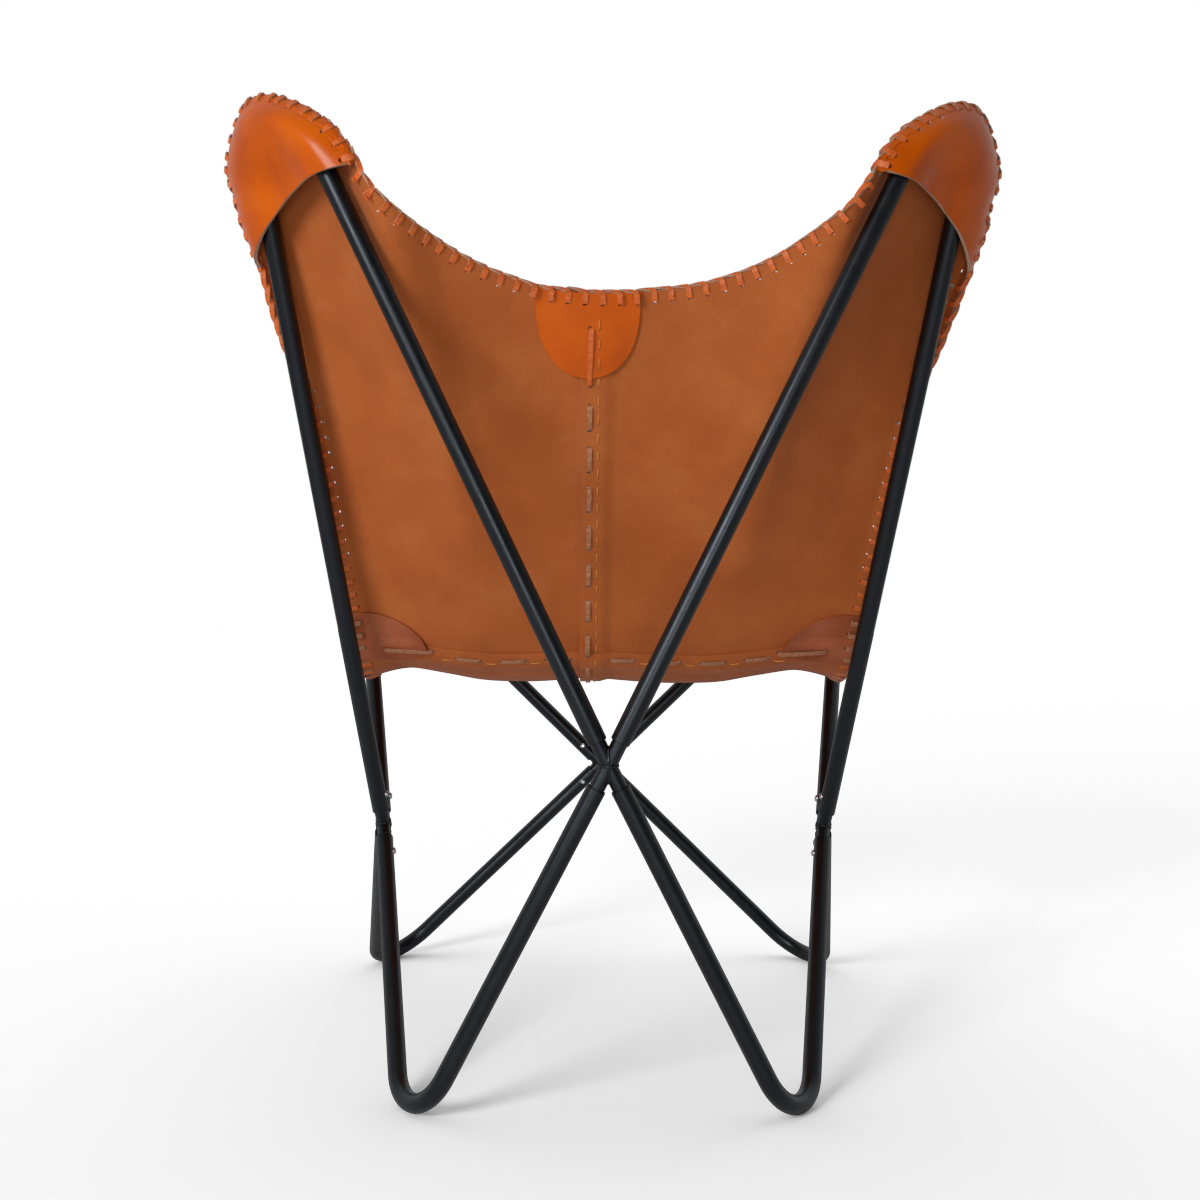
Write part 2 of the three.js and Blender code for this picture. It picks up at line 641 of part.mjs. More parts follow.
const bounds = new THREE.Box3().setFromObject(chair);
const middle = bounds.getCenter(new THREE.Vector3());
chair.position.set(-middle.x, -middle.y, 0);

export default chair;
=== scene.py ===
"""Looks of the butterfly sling chair: a bent tube frame with a laced hide sling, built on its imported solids.

Working lengths are millimetres in the maker's own frame, and to_row() turns them into metres in the row frame.
+Z is up, the sitter faces -Y and +X is the sitter's left.
"""
import math

import bmesh
import bpy
import numpy as np
from mathutils import Matrix, Quaternion, Vector


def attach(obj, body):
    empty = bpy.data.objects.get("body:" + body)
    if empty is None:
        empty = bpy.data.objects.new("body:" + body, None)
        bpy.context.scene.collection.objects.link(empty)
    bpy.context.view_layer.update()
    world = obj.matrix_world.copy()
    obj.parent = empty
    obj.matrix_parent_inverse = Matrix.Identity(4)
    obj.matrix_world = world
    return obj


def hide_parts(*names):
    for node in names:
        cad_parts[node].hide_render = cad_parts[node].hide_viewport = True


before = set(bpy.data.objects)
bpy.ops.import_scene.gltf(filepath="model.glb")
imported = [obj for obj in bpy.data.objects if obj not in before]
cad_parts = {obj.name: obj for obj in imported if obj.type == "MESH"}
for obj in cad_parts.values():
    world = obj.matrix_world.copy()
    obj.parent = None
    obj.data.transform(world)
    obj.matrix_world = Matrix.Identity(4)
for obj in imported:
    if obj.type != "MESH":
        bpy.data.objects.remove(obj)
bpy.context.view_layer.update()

MM = 0.001
BOX_MIDDLE = np.array([-2.916, 22.252, 0.0])

# Tube, spigots and screws
TUBE_R = 9.0
BORE_R = 7.8
SPIGOT_R = 7.2
SPIGOT_INSERT = 45.0
BORE_DEPTH = 47.0
TUBE_CHAMFER = 0.6
WELD_ROOM = 5.0
WELD_R = 1.5
WELD_RIPPLE = 0.25
SCREW_INSET = 20.0
SCREW_HEAD_R = 3.5
SCREW_HEAD_H = 2.4
SCREW_SOCKET_R = 1.5
SCREW_SOCKET_DEPTH = 1.4
SCREW_SIDES = 24
SPIGOT_CHAMFER = 1.0
ASKEW = (0.3, 0.5, 0.8)
WELD_STEPS = 40
WELD_SIDES = 10
WELD_RIPPLE_RATE = 16
FOOT_FLAT = 0.5
SETTLE_ROUNDS = 6
TUBE_SIDES = 36
BEND_STEPS = 28

# Greatest angles that are shaded smooth, in degrees
SMOOTH_SKIN = 40
SMOOTH_WELD = 35
SMOOTH_SCREW = 30
SMOOTH_STITCH = 50

# Corners of the bent tubes: half spread, setback, height and bend radius
CORNERS = {
    ("rear", "upright"): (346.0, 380.0, 1053.0, 48.0),
    ("front", "upright"): (327.0, -330.0, 577.0, 40.0),
    ("rear", "foot"): (187.5, 299.0, 0.0, 50.0),
    ("front", "foot"): (305.0, -323.0, 0.0, 54.0),
}
CROSSINGS = {
    "rear_cross": np.array([0.0, 325.0, 332.0]),
    "front_cross": np.array([0.0, -314.0, 261.0]),
    "left_cross": np.array([246.0, 22.0, 230.0]),
    "right_cross": np.array([-246.0, 22.0, 230.0]),
}
SCREWS_FACE = {
    "rear_cross": np.array([0.0, -1.0, 0.0]),
    "front_cross": np.array([0.0, 1.0, 0.0]),
    "left_cross": np.array([-1.0, 0.0, 0.0]),
    "right_cross": np.array([1.0, 0.0, 0.0]),
}

# Sling of hide
HIDE = 3.5
PATCH_HIDE = 2.5
LAYER_GAP = 0.3
SIT_GAP = 0.5
POCKET_ROOM = 3.0
SEAM_SHIFT = 16.0
SEAM_SIDE = (270.0, 60.0, 433.0)
SEAM_CENTRE = (74.0, 425.0)
SEAM_SAG = 9.0
BACK_TOP = (290.0, 770.0)
BACK_HOLLOW = 8.0
SEAT_FRONT = (-285.0, 450.0)
SEAT_HOLLOW = 4.0
SEAT_LOW = (-50.0, 398.0)
SEAT_SIDE_HEIGHT = 397.0
TURN_RISE = 6.0
TURN_SHARE = 0.3
EDGE_UPPER = {"share": 0.33, "pull": 18.0, "sag": 14.0}
EDGE_LOWER = {"share": 0.66, "pull": 10.0, "sag": 18.0}
HANG_POWER = 2.6
HANG_SKEW = 0.4
REAR_HORN = {
    "mouth": 90.0, "inner_mouth": 62.0, "mouth_arch": 20.0, "tip_margin": 20.0, "tip_offset": 36.0,
    "inner_margin": 22.0, "outer_margin": 40.0, "hang_shift": 4.0, "shoulder": 0.28, "inner_shoulder": 0.78,
    "outer_shoulder": 1.06, "side_rise": 0.18, "mouth_drop": 0.34,
}
FRONT_HORN = {
    "mouth": 78.0, "inner_mouth": 66.0, "mouth_arch": 14.0, "tip_margin": 20.0, "tip_offset": 9.0,
    "inner_margin": 14.0, "outer_margin": 30.0, "hang_shift": 0.0, "shoulder": 0.32, "inner_shoulder": 0.86,
    "outer_shoulder": 0.86, "side_rise": 0.35, "mouth_drop": 0.3,
}
HORN_CURL = 20.0
HORN_SIDE_INSET = 9.0
HORN_MOUTH_INSET = 7.0
SHOULDER_CURL = 8.0
LIFT_RUN = 95.0
LIFT_BESIDE = 38.0
WRAP_POWER = 2.8
POCKET_SLACK = 4.0
SLACK_BAND = (4.0, 36.0)
LEAF_ROW_POWER = 1.3
FOLD_SHARE = 0.09
FOLD_SAMPLES = 9
SIT_HEIGHT = TUBE_R + SIT_GAP + HIDE
PANEL_COLUMNS = 110
PANEL_ROWS = 80
POCKET_COLUMNS = 130
POCKET_ROWS = 44
EDGE_STEPS = 500
LINE_STEPS = 60
SIDES = {"left": 1, "right": -1}

# Laps of the seams, and the stitches in them
LAP_RISE = HIDE + LAYER_GAP
LAP_OVER = 12.6
LAP_UNDER = 9.0
LAP_RAMP = 14.0
CENTRE_STEP = (-0.001, 0.004)
CROSS_LAP_OVER = 2.0
CROSS_LAP_UNDER = 18.0
TOP_PATCH_HALF = 50.0
TOP_PATCH_DEPTH = 84.0
TOP_PATCH_MIDDLE = 6.4
TOP_PATCH_FLAT = 8.0
TOP_PATCH_TIP = 2.0
TOP_TONGUE_POWER = 3.2
SIDE_PATCH = {"length": 82.0, "above": 42.0, "below": 16.0}
SIDE_PATCH_RAMP = 12.0
SIDE_TONGUE_POWER = 2.5
TONGUE_BLUNT = 0.0012
LACE_PITCH = 16.0
LACE_HOLE_INSET = 10.0
LACE_HOLE_R = 2.3
THONG_WIDTH = 5.2
THONG_THICK = 1.6
RUNNING_STITCH = 25.0
RUNNING_PITCH = 44.5
RUNNING_START = 126.0
CROSS_PITCH = 48.0
CROSS_START = 34.0
CROSS_THONG_BEYOND = 6.5
CROSS_THREAD_BEYOND = 10.0
TONGUE_BEYOND = 2.0
SEAM_REST = 34.0
LONG_STITCH = 58.0
LONG_STITCH_START = 34.0
TONGUE_STITCH = 52.0
CENTRE_THONG_ACROSS = 3.7
CENTRE_THREAD_ACROSS = -5.6
THONG_HOLE_R = 2.4
THREAD_R = 0.7
THREAD_STITCH = 10.5
THREAD_PITCH = 19.4
THREAD_START = 30.0
THREAD_HOLE_R = 0.9
LEAF_LIFT = 0.6
WHIP_SHAKE = 0.05
STITCH_SHAKE = 0.03
SEAM_CLEAR = 10.0
CROSS_CLEAR = 16.0
TONGUE_TUCK = 4.0
PUNCH_REACH = {"edge": 8.0, "pocket": 3.5, "leaf": 4.5, "seam": 9.0}
SKIVED_SHARE = 0.3
SKIVE_RUN = 9.0
STACKS = {
    "plain": HIDE,
    "pocket": 2 * HIDE + LAYER_GAP,
    "top_patch": HIDE + LAP_RISE + PATCH_HIDE,
    "seam_patch": HIDE + LAP_RISE + PATCH_HIDE,
}
WHOLE_STITCH = slice(0, 11)
OUTER_HALF = slice(0, 6)
INNER_HALF = slice(5, 11)

# Camera, and the room's light: bright from the chair's front and dim from the camera's side
CAMERA_LENS = 42.65
CAMERA_PLACE = np.array([20.65, 1612.8, 481.9])
CAMERA_YAW = 0.0092
CAMERA_ROLL = math.radians(0.4)
ROOM_BRIGHT = 0.6
ROOM_DIM = 0.05


# Small helpers
def to_row(points):
    return (np.asarray(points, float) - BOX_MIDDLE) * MM


def unit(vectors):
    return vectors / np.linalg.norm(vectors, axis=-1, keepdims=True)


def square_to(vectors, along):
    """The vectors without their part along the unit directions, as unit vectors."""
    return unit(vectors - along * np.sum(vectors * along, axis=-1, keepdims=True))


def as_arrays(*values):
    """The values as float arrays of one shape."""
    return np.broadcast_arrays(*(np.asarray(value, float) for value in values))


def lerp(a, b, t):
    return a + (b - a) * t


def smoothstep(x, low, high):
    t = np.clip((x - low) / (high - low), 0, 1)
    return t * t * (3 - 2 * t)


def mirrored(place, side):
    return np.array([place[0] * side, place[1], place[2]])


def side_cross(side):
    return "left_cross" if side > 0 else "right_cross"


def linear(hex_colour):
    """A six-digit sRGB hex value as linear RGBA."""
    parts = [int(hex_colour[k:k + 2], 16) / 255 for k in (0, 2, 4)]
    curve = [c / 12.92 if c <= 0.04045 else ((c + 0.055) / 1.055) ** 2.4 for c in parts]
    return (*curve, 1.0)


def feed(tree, node, inputs):
    """Gives each input a value or a link."""
    for socket, value in inputs.items():
        if isinstance(value, bpy.types.NodeSocket):
            tree.links.new(value, node.inputs[socket])
        else:
            node.inputs[socket].default_value = value
    return node


def add(tree, kind, inputs=None, **settings):
    """One node with its settings and inputs."""
    node = tree.nodes.new(kind)
    for name, value in settings.items():
        setattr(node, name, value)
    return feed(tree, node, inputs or {})


# Materials
def patterned_finish(name, patterns, dye, gloss=None, relief=None, blend=None, constants=None):
    """A finish whose patterns lie in the piece's own coordinates, each with its size in millimetres: noise where it
    has settings, and cells where it has none. A blend is a share and the two patterns that it mixes. The dye, the
    gloss and the relief each follow one pattern."""
    material = bpy.data.materials.new(name)
    material.use_nodes = True
    tree = material.node_tree
    place = add(tree, "ShaderNodeTexCoord").outputs["Object"]
    surface = dict(constants or {})
    fields = {}
    for word, (size_mm, settings) in patterns.items():
        kind, output = ("ShaderNodeTexNoise", "Fac") if settings else ("ShaderNodeTexVoronoi", "Distance")
        texture = add(tree, kind, {"Vector": place, "Scale": 1 / (size_mm * MM), **settings})
        fields[word] = texture.outputs[output]
    if blend:
        share, first, second = blend
        mixed = add(tree, "ShaderNodeMix", {"Factor": share, "A": fields[first], "B": fields[second]})
        fields["blend"] = mixed.outputs["Result"]
    pattern, stops = dye
    ramp = add(tree, "ShaderNodeValToRGB", {"Fac": fields[pattern]})
    band = ramp.color_ramp.elements
    while len(band) < len(stops):
        band.new(0.5)
    for element, (position, colour) in zip(band, stops):
        element.position = position
        element.color = linear(colour)
    surface["Base Color"] = ramp.outputs["Color"]
    if gloss:
        pattern, low, high = gloss
        surface["Roughness"] = add(tree, "ShaderNodeMapRange", {
            "Value": fields[pattern], "From Min": 0.3, "From Max": 0.7, "To Min": low, "To Max": high,
        }).outputs["Result"]
    if relief:
        pattern, depth_mm, strength = relief
        surface["Normal"] = add(tree, "ShaderNodeBump", {
            "Height": fields[pattern], "Distance": depth_mm * MM, "Strength": strength,
        }).outputs["Normal"]
    feed(tree, tree.nodes["Principled BSDF"], surface)
    return material


def grain_side_hide(name, colours, low_gloss, high_gloss, coat):
    """Polished grain side: fine pores about 1 mm across under a thin wax, with dye that pools in soft clouds.
    The wax gives the shine, and the dyed fibre under it little of its own."""
    return patterned_finish(
        name, {"clouds": (55, {"Detail": 6.0, "Roughness": 0.55}), "pores": (1.1, {})},
        dye=("clouds", list(zip((0.3, 0.52, 0.75), colours))), gloss=("clouds", low_gloss, high_gloss),
        relief=("pores", 0.06, 0.22),
        constants={"IOR": 1.46, "Specular IOR Level": 0.15, "Coat Weight": coat, "Coat Roughness": 0.22},
    )


def dyed_thong(name, *colours):
    """Cut thong: dyed grain face, creased across where it bends."""
    return patterned_finish(
        name, {"creases": (3.0, {"Detail": 5.0, "Roughness": 0.65})},
        dye=("creases", list(zip((0.3, 0.5, 0.72), colours))), gloss=("creases", 0.4, 0.6),
        relief=("creases", 0.2, 0.4),
    )


# Satin black powder coat: near black with a soft cool sheen, broken by a faint orange-peel of about 1.5 mm
COATED_STEEL = patterned_finish(
    "powder_coated_steel",
    {"wear": (18, {"Detail": 6.0, "Roughness": 0.55}), "peel": (1.5, {"Detail": 1.0, "Roughness": 0.55})},
    dye=("wear", [(0.35, "040506"), (0.7, "08090b")]), gloss=("wear", 0.3, 0.42), relief=("peel", 0.05, 0.25),
    constants={"IOR": 1.52, "Specular Tint": linear("dfe9f7")},
)
# Bright zinc plate on pressed screw heads: a cool mirror dulled in spots
ZINC = patterned_finish(
    "zinc_plated_steel", {"dull": (1.2, {"Detail": 4.0, "Roughness": 0.55})},
    dye=("dull", [(0.3, "b9bcc0"), (0.7, "e2e4e6")]), gloss=("dull", 0.14, 0.3), constants={"Metallic": 1.0},
)
# Flesh side of vegetable-tanned hide: matt, with cloudy dye and short fibres, which are drawn 2 mm across to show
BACK_FLESH = patterned_finish(
    "flesh_side_hide",
    {"clouds": (70, {"Detail": 7.0, "Roughness": 0.62}),
     "fibres": (2.0, {"Detail": 5.0, "Roughness": 0.7, "Distortion": 0.6})},
    blend=(0.42, "clouds", "fibres"), dye=("blend", [(0.3, "a05020"), (0.5, "b05c29"), (0.7, "bd6c37")]),
    gloss=("fibres", 0.68, 0.86), relief=("fibres", 0.25, 0.45),
    constants={"IOR": 1.42, "Specular IOR Level": 0.25, "Sheen Weight": 0.08, "Sheen Roughness": 0.5},
)
SEAT_GRAIN = grain_side_hide("sitting_grain_hide", ("a9561f", "b9622a", "c66f32"), 0.34, 0.46, 0.16)
POCKET_GRAIN = grain_side_hide("polished_orange_hide", ("b94c00", "cc5800", "d86400"), 0.3, 0.4, 0.24)
PATCH_GRAIN = grain_side_hide("polished_russet_hide", ("8a4526", "a35636", "b76a48"), 0.3, 0.4, 0.25)
# Raw cut edge: pale undyed fibre, darker where wax took
CUT_EDGE = patterned_finish(
    "cut_edge_hide", {"fibres": (1.4, {"Detail": 5.0, "Roughness": 0.7})},
    dye=("fibres", [(0.3, "846650"), (0.5, "b3937b"), (0.72, "d2b9a6")]), relief=("fibres", 0.3, 0.5),
    constants={"Roughness": 0.85},
)
THONG = dyed_thong("dyed_thong", "b84e14", "d5621e", "e27a36")
RAW_THONG = dyed_thong("raw_thong", "8b6247", "a67d62", "c09a80")
SEAM_THONG = dyed_thong("seam_thong", "8f5434", "ab6f4b", "c08a68")
# Waxed linen thread: golden brown, slightly shiny
THREAD = patterned_finish(
    "waxed_thread", {"twist": (0.9, {"Detail": 3.0, "Roughness": 0.55})},
    dye=("twist", [(0.3, "b0661a"), (0.7, "e59c45")]), constants={"Roughness": 0.5},
)


# Meshes
def place_object(name, data):
    obj = bpy.data.objects.new(name, data)
    bpy.context.scene.collection.objects.link(obj)
    return obj


def shade_smooth(mesh, degrees):
    """Smooth shading, with edges sharper than the angle kept."""
    mesh.polygons.foreach_set("use_smooth", [True] * len(mesh.polygons))
    mesh.set_sharp_from_angle(angle=math.radians(degrees))


def link_mesh(name, points, faces, materials, indices=None):
    """Object at the origin with its place in its mesh, shaded smooth up to an angle."""
    mesh = bpy.data.meshes.new(name)
    mesh.from_pydata(to_row(points).tolist(), [], faces)
    for material in materials:
        mesh.materials.append(material)
    if indices is not None:
        mesh.polygons.foreach_set("material_index", indices)
    shade_smooth(mesh, SMOOTH_SKIN)
    return place_object(name, mesh)


def faces_outward(obj):
    work = bmesh.new()
    work.from_mesh(obj.data)
    bmesh.ops.recalc_face_normals(work, faces=work.faces)
    work.to_mesh(obj.data)
    work.free()
    return obj


def lofted(rings):
    """Points and faces of a closed skin over a row of rings with the same number of points."""
    count = len(rings[0])
    points = np.concatenate(rings)
    faces = []
    for i in range(len(rings) - 1):
        for j in range(count):
            k = (j + 1) % count
            faces.append((i * count + j, i * count + k, (i + 1) * count + k, (i + 1) * count + j))
    faces.append(tuple(range(count))[::-1])
    faces.append(tuple(range(len(points) - count, len(points))))
    return points, faces


def round_rings(centres, directions, radii, sides, reference):
    """Circles square to a path; reference is a direction that the path never takes."""
    angles = np.linspace(0, 2 * math.pi, sides, endpoint=False)
    rings = []
    for centre, direction, radius in zip(centres, directions, radii):
        first = unit(np.cross(direction, reference))
        second = np.cross(direction, first)
        rings.append(centre + radius * (np.cos(angles)[:, None] * first + np.sin(angles)[:, None] * second))
    return rings


def evaluated(obj):
    """The object's mesh with its modifiers taken in and removed."""
    graph = bpy.context.evaluated_depsgraph_get()
    mesh = bpy.data.meshes.new_from_object(obj.evaluated_get(graph))
    obj.modifiers.clear()
    obj.data = mesh
    return obj


def cut_or_join(obj, other, operation):
    modifier = obj.modifiers.new("shape", "BOOLEAN")
    modifier.operation = operation
    modifier.solver = "MANIFOLD"
    modifier.object = other
    return evaluated(obj)


def discard(obj):
    bpy.data.objects.remove(obj)


# Bent tubes
def hairpin(corner, end_a, end_b, bend):
    """Centreline from end_a round the corner's bend to end_b, with its directions and the normal of its plane."""
    along_a = unit(end_a - corner)
    along_b = unit(end_b - corner)
    half = math.acos(np.dot(along_a, along_b)) / 2
    centre = corner + unit(along_a + along_b) * bend / math.sin(half)
    normal = unit(np.cross(along_a, along_b))
    arm = corner + along_a * bend / math.tan(half) - centre
    angles = np.linspace(0, 2 * half - math.pi, BEND_STEPS + 1)[:, None]
    turn = lambda v: np.cos(angles) * v + np.sin(angles) * np.cross(normal, v)
    points = np.vstack([end_a, centre + turn(arm), end_b])
    directions = np.vstack([-along_a, turn(-along_a), along_b])
    return points, directions, normal


def open_tube(points, directions):
    """Rings of a tube with open, chamfered ends: bore, end face, outside, end face and bore again."""
    start, way_in = points[0], directions[0]
    end, way_out = points[-1], directions[-1]
    centres = [start + way_in * BORE_DEPTH, start, start, start + way_in * TUBE_CHAMFER, *points[1:-1],
               end - way_out * TUBE_CHAMFER, end, end, end - way_out * BORE_DEPTH]
    ways = [way_in] * 4 + list(directions[1:-1]) + [way_out] * 4
    radii = [BORE_R, BORE_R, TUBE_R - TUBE_CHAMFER, TUBE_R] + [TUBE_R] * (len(points) - 2)
    radii += [TUBE_R, TUBE_R - TUBE_CHAMFER, BORE_R, BORE_R]
    return centres, ways, radii


class BentTube:
    """One hairpin of the frame, between a centre crossing and a side crossing."""

    def __init__(self, name, tip, side, centre_cross):
        self.name = name
        self.corner = mirrored(tip, side)
        self.bend = tip[3]
        self.crosses = (centre_cross, side_cross(side))

    def arm(self, cross):
        return unit(self.corner - CROSSINGS[cross])

    def path(self):
        ends = [CROSSINGS[cross] + self.arm(cross) * leg_start(cross) for cross in self.crosses]
        return hairpin(self.corner, *ends, self.bend)

    def lowest(self):
        points, directions, _ = self.path()
        return np.min(points[:, 2] - TUBE_R * np.sqrt(1 - directions[:, 2] ** 2))


bent_tubes = [BentTube(f"{end}_{word}_{kind}", corner, side, f"{end}_cross")
              for word, side in SIDES.items() for (end, kind), corner in CORNERS.items()]


def arms_at(cross):
    return [tube.arm(cross) for tube in bent_tubes if cross in tube.crosses]


def leg_start(cross):
    """Legs stop short of the crossing, where neighbouring tubes would touch."""
    arms = arms_at(cross)
    angles = [math.acos(np.dot(a, b)) for a in arms for b in arms if a is not b]
    return TUBE_R / math.tan(min(angles) / 2) + WELD_ROOM


for tube in bent_tubes:
    if tube.name.endswith("_foot"):
        for _ in range(SETTLE_ROUNDS):
            tube.corner[2] -= tube.lowest() + FOOT_FLAT


def keep(obj, slot, *nodes):
    """A finished piece: rides on the one body and stands for its solids, which it hides. The slot is not used."""
    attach(obj, "root")
    if nodes:
        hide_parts(*nodes)


def coated_rod(name, centres, directions, radii, sides, reference):
    """Round steel along a path, flat where it would pass the floor."""
    skin, faces = lofted(round_rings(centres, directions, radii, sides, reference))
    skin[:, 2] = np.maximum(skin[:, 2], 0)
    return faces_outward(link_mesh(name, skin, faces, [COATED_STEEL]))


for tube in bent_tubes:
    points, directions, normal = tube.path()
    piece = coated_rod(f"{tube.name}_tube", *open_tube(points, directions), TUBE_SIDES, normal)
    keep(piece, "frame", tube.name)


# Welded crosses: four spigots and the weld run along each valley between them
def spigot(name, cross, arm):
    reach = leg_start(cross) + SPIGOT_INSERT
    stations = np.array([0.0, reach - SPIGOT_CHAMFER, reach])
    radii = [SPIGOT_R, SPIGOT_R, SPIGOT_R - SPIGOT_CHAMFER]
    centres = CROSSINGS[cross] + stations[:, None] * arm
    return coated_rod(name, centres, [arm] * 3, radii, TUBE_SIDES, unit(np.cross(arm, ASKEW)))


def weld_run(name, cross, a, b):
    """A rippled bead on the half ellipse where two spigots meet."""
    normal = unit(np.cross(a, b))
    valley = unit(a + b)
    reach = SPIGOT_R / math.sin(math.acos(np.dot(a, b)) / 2)
    t = np.linspace(0, math.pi, WELD_STEPS)
    line = CROSSINGS[cross] + SPIGOT_R * np.cos(t)[:, None] * normal + reach * np.sin(t)[:, None] * valley
    ways = unit(np.gradient(line, axis=0))
    ripples = WELD_R + WELD_RIPPLE * np.sin(t * WELD_RIPPLE_RATE)
    return coated_rod(name, line, ways, ripples, WELD_SIDES, unit(np.cross(normal, valley)))


for cross in CROSSINGS:
    arms = arms_at(cross)
    piece = spigot(f"{cross}_spigots", cross, arms[0])
    extras = [spigot(f"{cross}_arm{k}", cross, arm) for k, arm in enumerate(arms[1:])]
    pairs = [(a, b) for i, a in enumerate(arms) for b in arms[i + 1:]]
    pairs.sort(key=lambda pair: -np.dot(*pair))
    extras += [weld_run(f"{cross}_weld{k}", cross, a, b) for k, (a, b) in enumerate(pairs[:len(arms)])]
    for extra in extras:
        cut_or_join(piece, extra, "UNION")
        discard(extra)
    piece.data.set_sharp_from_angle(angle=math.radians(SMOOTH_WELD))
    keep(piece, "connector", cross)


# Repeats: a shape set at marked spots by nodes
def spots_mesh(name, places, turns):
    """Bare points with a turn each, for the repeat tree to read."""
    mesh = bpy.data.meshes.new(name)
    mesh.from_pydata(to_row(places).tolist(), [], [])
    mesh.attributes.new("turn", "QUATERNION", "POINT").data.foreach_set("value", np.ravel(turns))
    return place_object(name, mesh)


def repeat_tree(finish, raw_finish):
    """Sets the shape at each spot, turned as the spot says and shaken a little, and gives it its finishes."""
    tree = bpy.data.node_groups.new("repeat_at_spots", "GeometryNodeTree")
    kinds = {"Geometry": "Geometry", "Shape": "Object", "Size": "Float", "Shake": "Float", "Seed": "Int"}
    sockets = {}
    for name, kind in kinds.items():
        socket = tree.interface.new_socket(name, in_out="INPUT", socket_type=f"NodeSocket{kind}")
        sockets[name] = socket.identifier
    tree.interface.new_socket("Geometry", in_out="OUTPUT", socket_type="NodeSocketGeometry")
    given = add(tree, "NodeGroupInput").outputs
    shape = add(tree, "GeometryNodeObjectInfo", {"Object": given["Shape"]})
    turn = add(tree, "GeometryNodeInputNamedAttribute", {"Name": "turn"}, data_type="QUATERNION")
    least = add(tree, "ShaderNodeMath", {0: given["Shake"], 1: -1.0}, operation="MULTIPLY")
    shake = add(tree, "FunctionNodeRandomValue", {
        "Min": least.outputs[0], "Max": given["Shake"], "Seed": given["Seed"],
    }, data_type="FLOAT_VECTOR")
    shaken = add(tree, "FunctionNodeRotateRotation", {
        "Rotation": turn.outputs["Attribute"], "Rotate By": shake.outputs["Value"],
    }, rotation_space="LOCAL")
    placed = add(tree, "GeometryNodeInstanceOnPoints", {
        "Points": given["Geometry"], "Instance": shape.outputs["Geometry"],
        "Rotation": shaken.outputs["Rotation"], "Scale": given["Size"],
    })
    real = add(tree, "GeometryNodeRealizeInstances", {"Geometry": placed.outputs["Instances"]})
    raw = add(tree, "GeometryNodeInputNamedAttribute", {"Name": "raw"}, data_type="BOOLEAN")
    faced = add(tree, "GeometryNodeSetMaterial", {"Geometry": real.outputs["Geometry"], "Material": finish})
    edged = add(tree, "GeometryNodeSetMaterial", {
        "Geometry": faced.outputs["Geometry"], "Selection": raw.outputs["Attribute"], "Material": raw_finish,
    })
    add(tree, "NodeGroupOutput", {"Geometry": edged.outputs["Geometry"]})
    return tree, sockets


def repeated(name, shape, places, turns, finish, raw_finish, shake=0.0, seed=1, smooth_degrees=SMOOTH_STITCH):
    """One plain mesh with the shape at every spot. The shape itself is used up."""
    obj = spots_mesh(name, places, turns)
    tree, sockets = repeat_tree(finish, raw_finish)
    modifier = obj.modifiers.new("repeat", "NODES")
    modifier.node_group = tree
    for socket, value in {"Shape": shape, "Size": 1.0, "Shake": shake, "Seed": seed}.items():
        modifier[sockets[socket]] = value
    evaluated(obj)
    shade_smooth(obj.data, smooth_degrees)
    bpy.data.node_groups.remove(tree)
    discard(shape)
    return obj


def shape_object(points, faces, raw_faces=()):
    """A small shape at the origin, in millimetres about its own middle, with its raw faces marked."""
    mesh = bpy.data.meshes.new("shape")
    mesh.from_pydata((np.asarray(points) * MM).tolist(), [], faces)
    marks = mesh.attributes.new("raw", "BOOLEAN", "FACE")
    marks.data.foreach_set("value", [k in raw_faces for k in range(len(faces))])
    return faces_outward(place_object("shape", mesh))


def quaternion_of(x_axis, y_axis, z_axis):
    return tuple(Matrix(np.stack([x_axis, y_axis, z_axis], axis=1).tolist()).to_quaternion())


def quaternions(x_axes, y_axes, z_axes):
    return np.array([quaternion_of(*axes) for axes in zip(x_axes, y_axes, z_axes)])


# Screws that lock the legs on the spigots
def screw_shape():
    """Button head with a six-sided socket."""
    angles = np.linspace(0, 2 * math.pi, SCREW_SIDES, endpoint=False)
    hexagon = math.cos(math.pi / 6) / np.cos(np.mod(angles, math.pi / 3) - math.pi / 6)
    profile = [(SCREW_HEAD_R, -0.4, 0), (SCREW_HEAD_R, 0.6, 0), (SCREW_HEAD_R * 0.93, 1.3, 0),
               (SCREW_HEAD_R * 0.72, 2.0, 0), (SCREW_SOCKET_R + 0.35, SCREW_HEAD_H, 0),
               (SCREW_SOCKET_R, SCREW_HEAD_H - 0.1, 1), (SCREW_SOCKET_R, SCREW_HEAD_H - SCREW_SOCKET_DEPTH, 1)]
    rings = []
    for radius, height, sixfold in profile:
        reach = radius * (hexagon if sixfold else np.ones(SCREW_SIDES))
        heights = np.full(SCREW_SIDES, height)
        rings.append(np.stack([reach * np.cos(angles), reach * np.sin(angles), heights], axis=1))
    return shape_object(*lofted(rings))


screw_places, screw_turns, screw_nodes = [], [], []
for tube in bent_tubes:
    for end_word, cross in zip(("inner", "outer"), tube.crosses):
        arm = tube.arm(cross)
        outward = square_to(SCREWS_FACE[cross], arm)
        on_axis = CROSSINGS[cross] + arm * (leg_start(cross) + SCREW_INSET)
        screw_places.append(on_axis + outward * TUBE_R)
        screw_turns.append(quaternion_of(arm, np.cross(outward, arm), outward))
        screw_nodes.append(f"{tube.name}_{end_word}_screw")
screws = repeated("leg_screws", screw_shape(), screw_places, screw_turns, ZINC, ZINC, smooth_degrees=SMOOTH_SCREW)
keep(screws, "screw", *screw_nodes)


